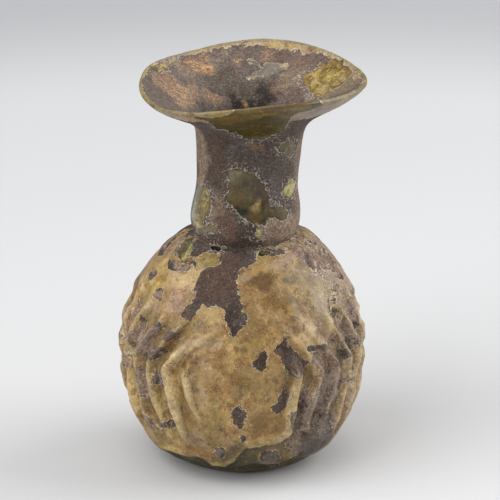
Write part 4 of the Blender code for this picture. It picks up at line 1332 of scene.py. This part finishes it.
def makePaper():  # matt seamless paper, with a painted falloff of light that greys it away from the middle
    material = bpy.data.materials.new("matt pale paper")
    material.use_nodes = True
    tree = material.node_tree
    shader = tree.nodes["Principled BSDF"]
    place = addNode(tree, "TexCoord").outputs["Object"]
    away = addNode(tree, "VectorMath", {"operation": "LENGTH"}, _0=place).outputs["Value"]
    reach = addNode(tree, "MapRange", {"From Max": stageFloor["paintedFalloffReach"]}, Value=away).outputs["Result"]
    ramp = addNode(tree, "ValToRGB", Fac=reach)
    ramp.color_ramp.interpolation = "EASE"
    for share, grey in stageFloor["paintedFalloffGreys"]:
        isEnd = share in (0.0, 1.0)
        stop = ramp.color_ramp.elements[-int(share)] if isEnd else ramp.color_ramp.elements.new(share)
        stop.color = (*srgbToLinear(grey), 1.0)
    tree.links.new(ramp.outputs["Color"], shader.inputs["Base Color"])
    shader.inputs["Roughness"].default_value = stageFloor["roughness"]
    shader.inputs["Specular IOR Level"].default_value = stageFloor["specular"]
    return material


def makeFloor():
    sizes = stageFloor
    profile = [(sizes["front"], 0.0), (sizes["curveStart"], 0.0)]
    for step in range(1, sizes["curveSteps"] + 1):
        turn = math.pi / 2.0 * step / sizes["curveSteps"]
        profile.append((sizes["curveStart"] + sizes["curveRadius"] * math.sin(turn),
                        sizes["curveRadius"] * (1.0 - math.cos(turn))))
    profile.append((profile[-1][0], sizes["top"]))
    shape = bmesh.new()
    rows = [[shape.verts.new((side * sizes["halfWidth"], y, z)) for side in (-1, 1)] for y, z in profile]
    for near, far in zip(rows, rows[1:]):
        shape.faces.new((near[0], near[1], far[1], far[0])).smooth = True
    mesh = bpy.data.meshes.new("floor")
    shape.to_mesh(mesh)
    shape.free()
    floor = bpy.data.objects.new("floor", mesh)
    bpy.context.scene.collection.objects.link(floor)
    mesh.materials.append(makePaper())


makeFloor()
print("floor laid")

# Soft round lamps, aimed at the flask's middle: place and width in m, power in W
lampAim = Vector((0.0, 0.0, 0.05))
stageLamps = {
    "large soft lamp": ((-0.75, -0.5, 0.85), 1.3, 12.0),
    "soft lamp overhead": ((0.05, 0.1, 1.3), 1.0, 3.4),
    "soft lamp from the right": ((0.95, 0.2, 0.55), 1.2, 11.0),
}
roomLight = {"colour": "#f2f4f8", "strength": 0.47}

for name, (place, width, power) in stageLamps.items():
    lamp = bpy.data.lights.new(name, "AREA")
    lamp.shape = "DISK"
    lamp.size = width
    lamp.energy = power
    holder = bpy.data.objects.new(name, lamp)
    holder.location = place
    holder.rotation_euler = (lampAim - Vector(place)).to_track_quat("-Z", "Y").to_euler()
    bpy.context.scene.collection.objects.link(holder)
world = bpy.data.worlds.new("soft room light")
world.use_nodes = True
world.node_tree.nodes["Background"].inputs["Color"].default_value = (*srgbToLinear(roomLight["colour"]), 1.0)
world.node_tree.nodes["Background"].inputs["Strength"].default_value = roomLight["strength"]
bpy.context.scene.world = world
bpy.context.scene.view_settings.view_transform = "Standard"

camera = bpy.data.cameras.new("camera")
camera.sensor_width = pictureView["sensor"]
camera.lens = pictureView["lens"]
camera.clip_start = 0.05
cameraHolder = bpy.data.objects.new("camera", camera)
cameraHolder.location = eye / 1000.0
cameraHolder.rotation_euler = ahead.to_track_quat("-Z", "Y").to_euler()
bpy.context.scene.collection.objects.link(cameraHolder)
bpy.context.scene.camera = cameraHolder
print("lamps and camera placed")
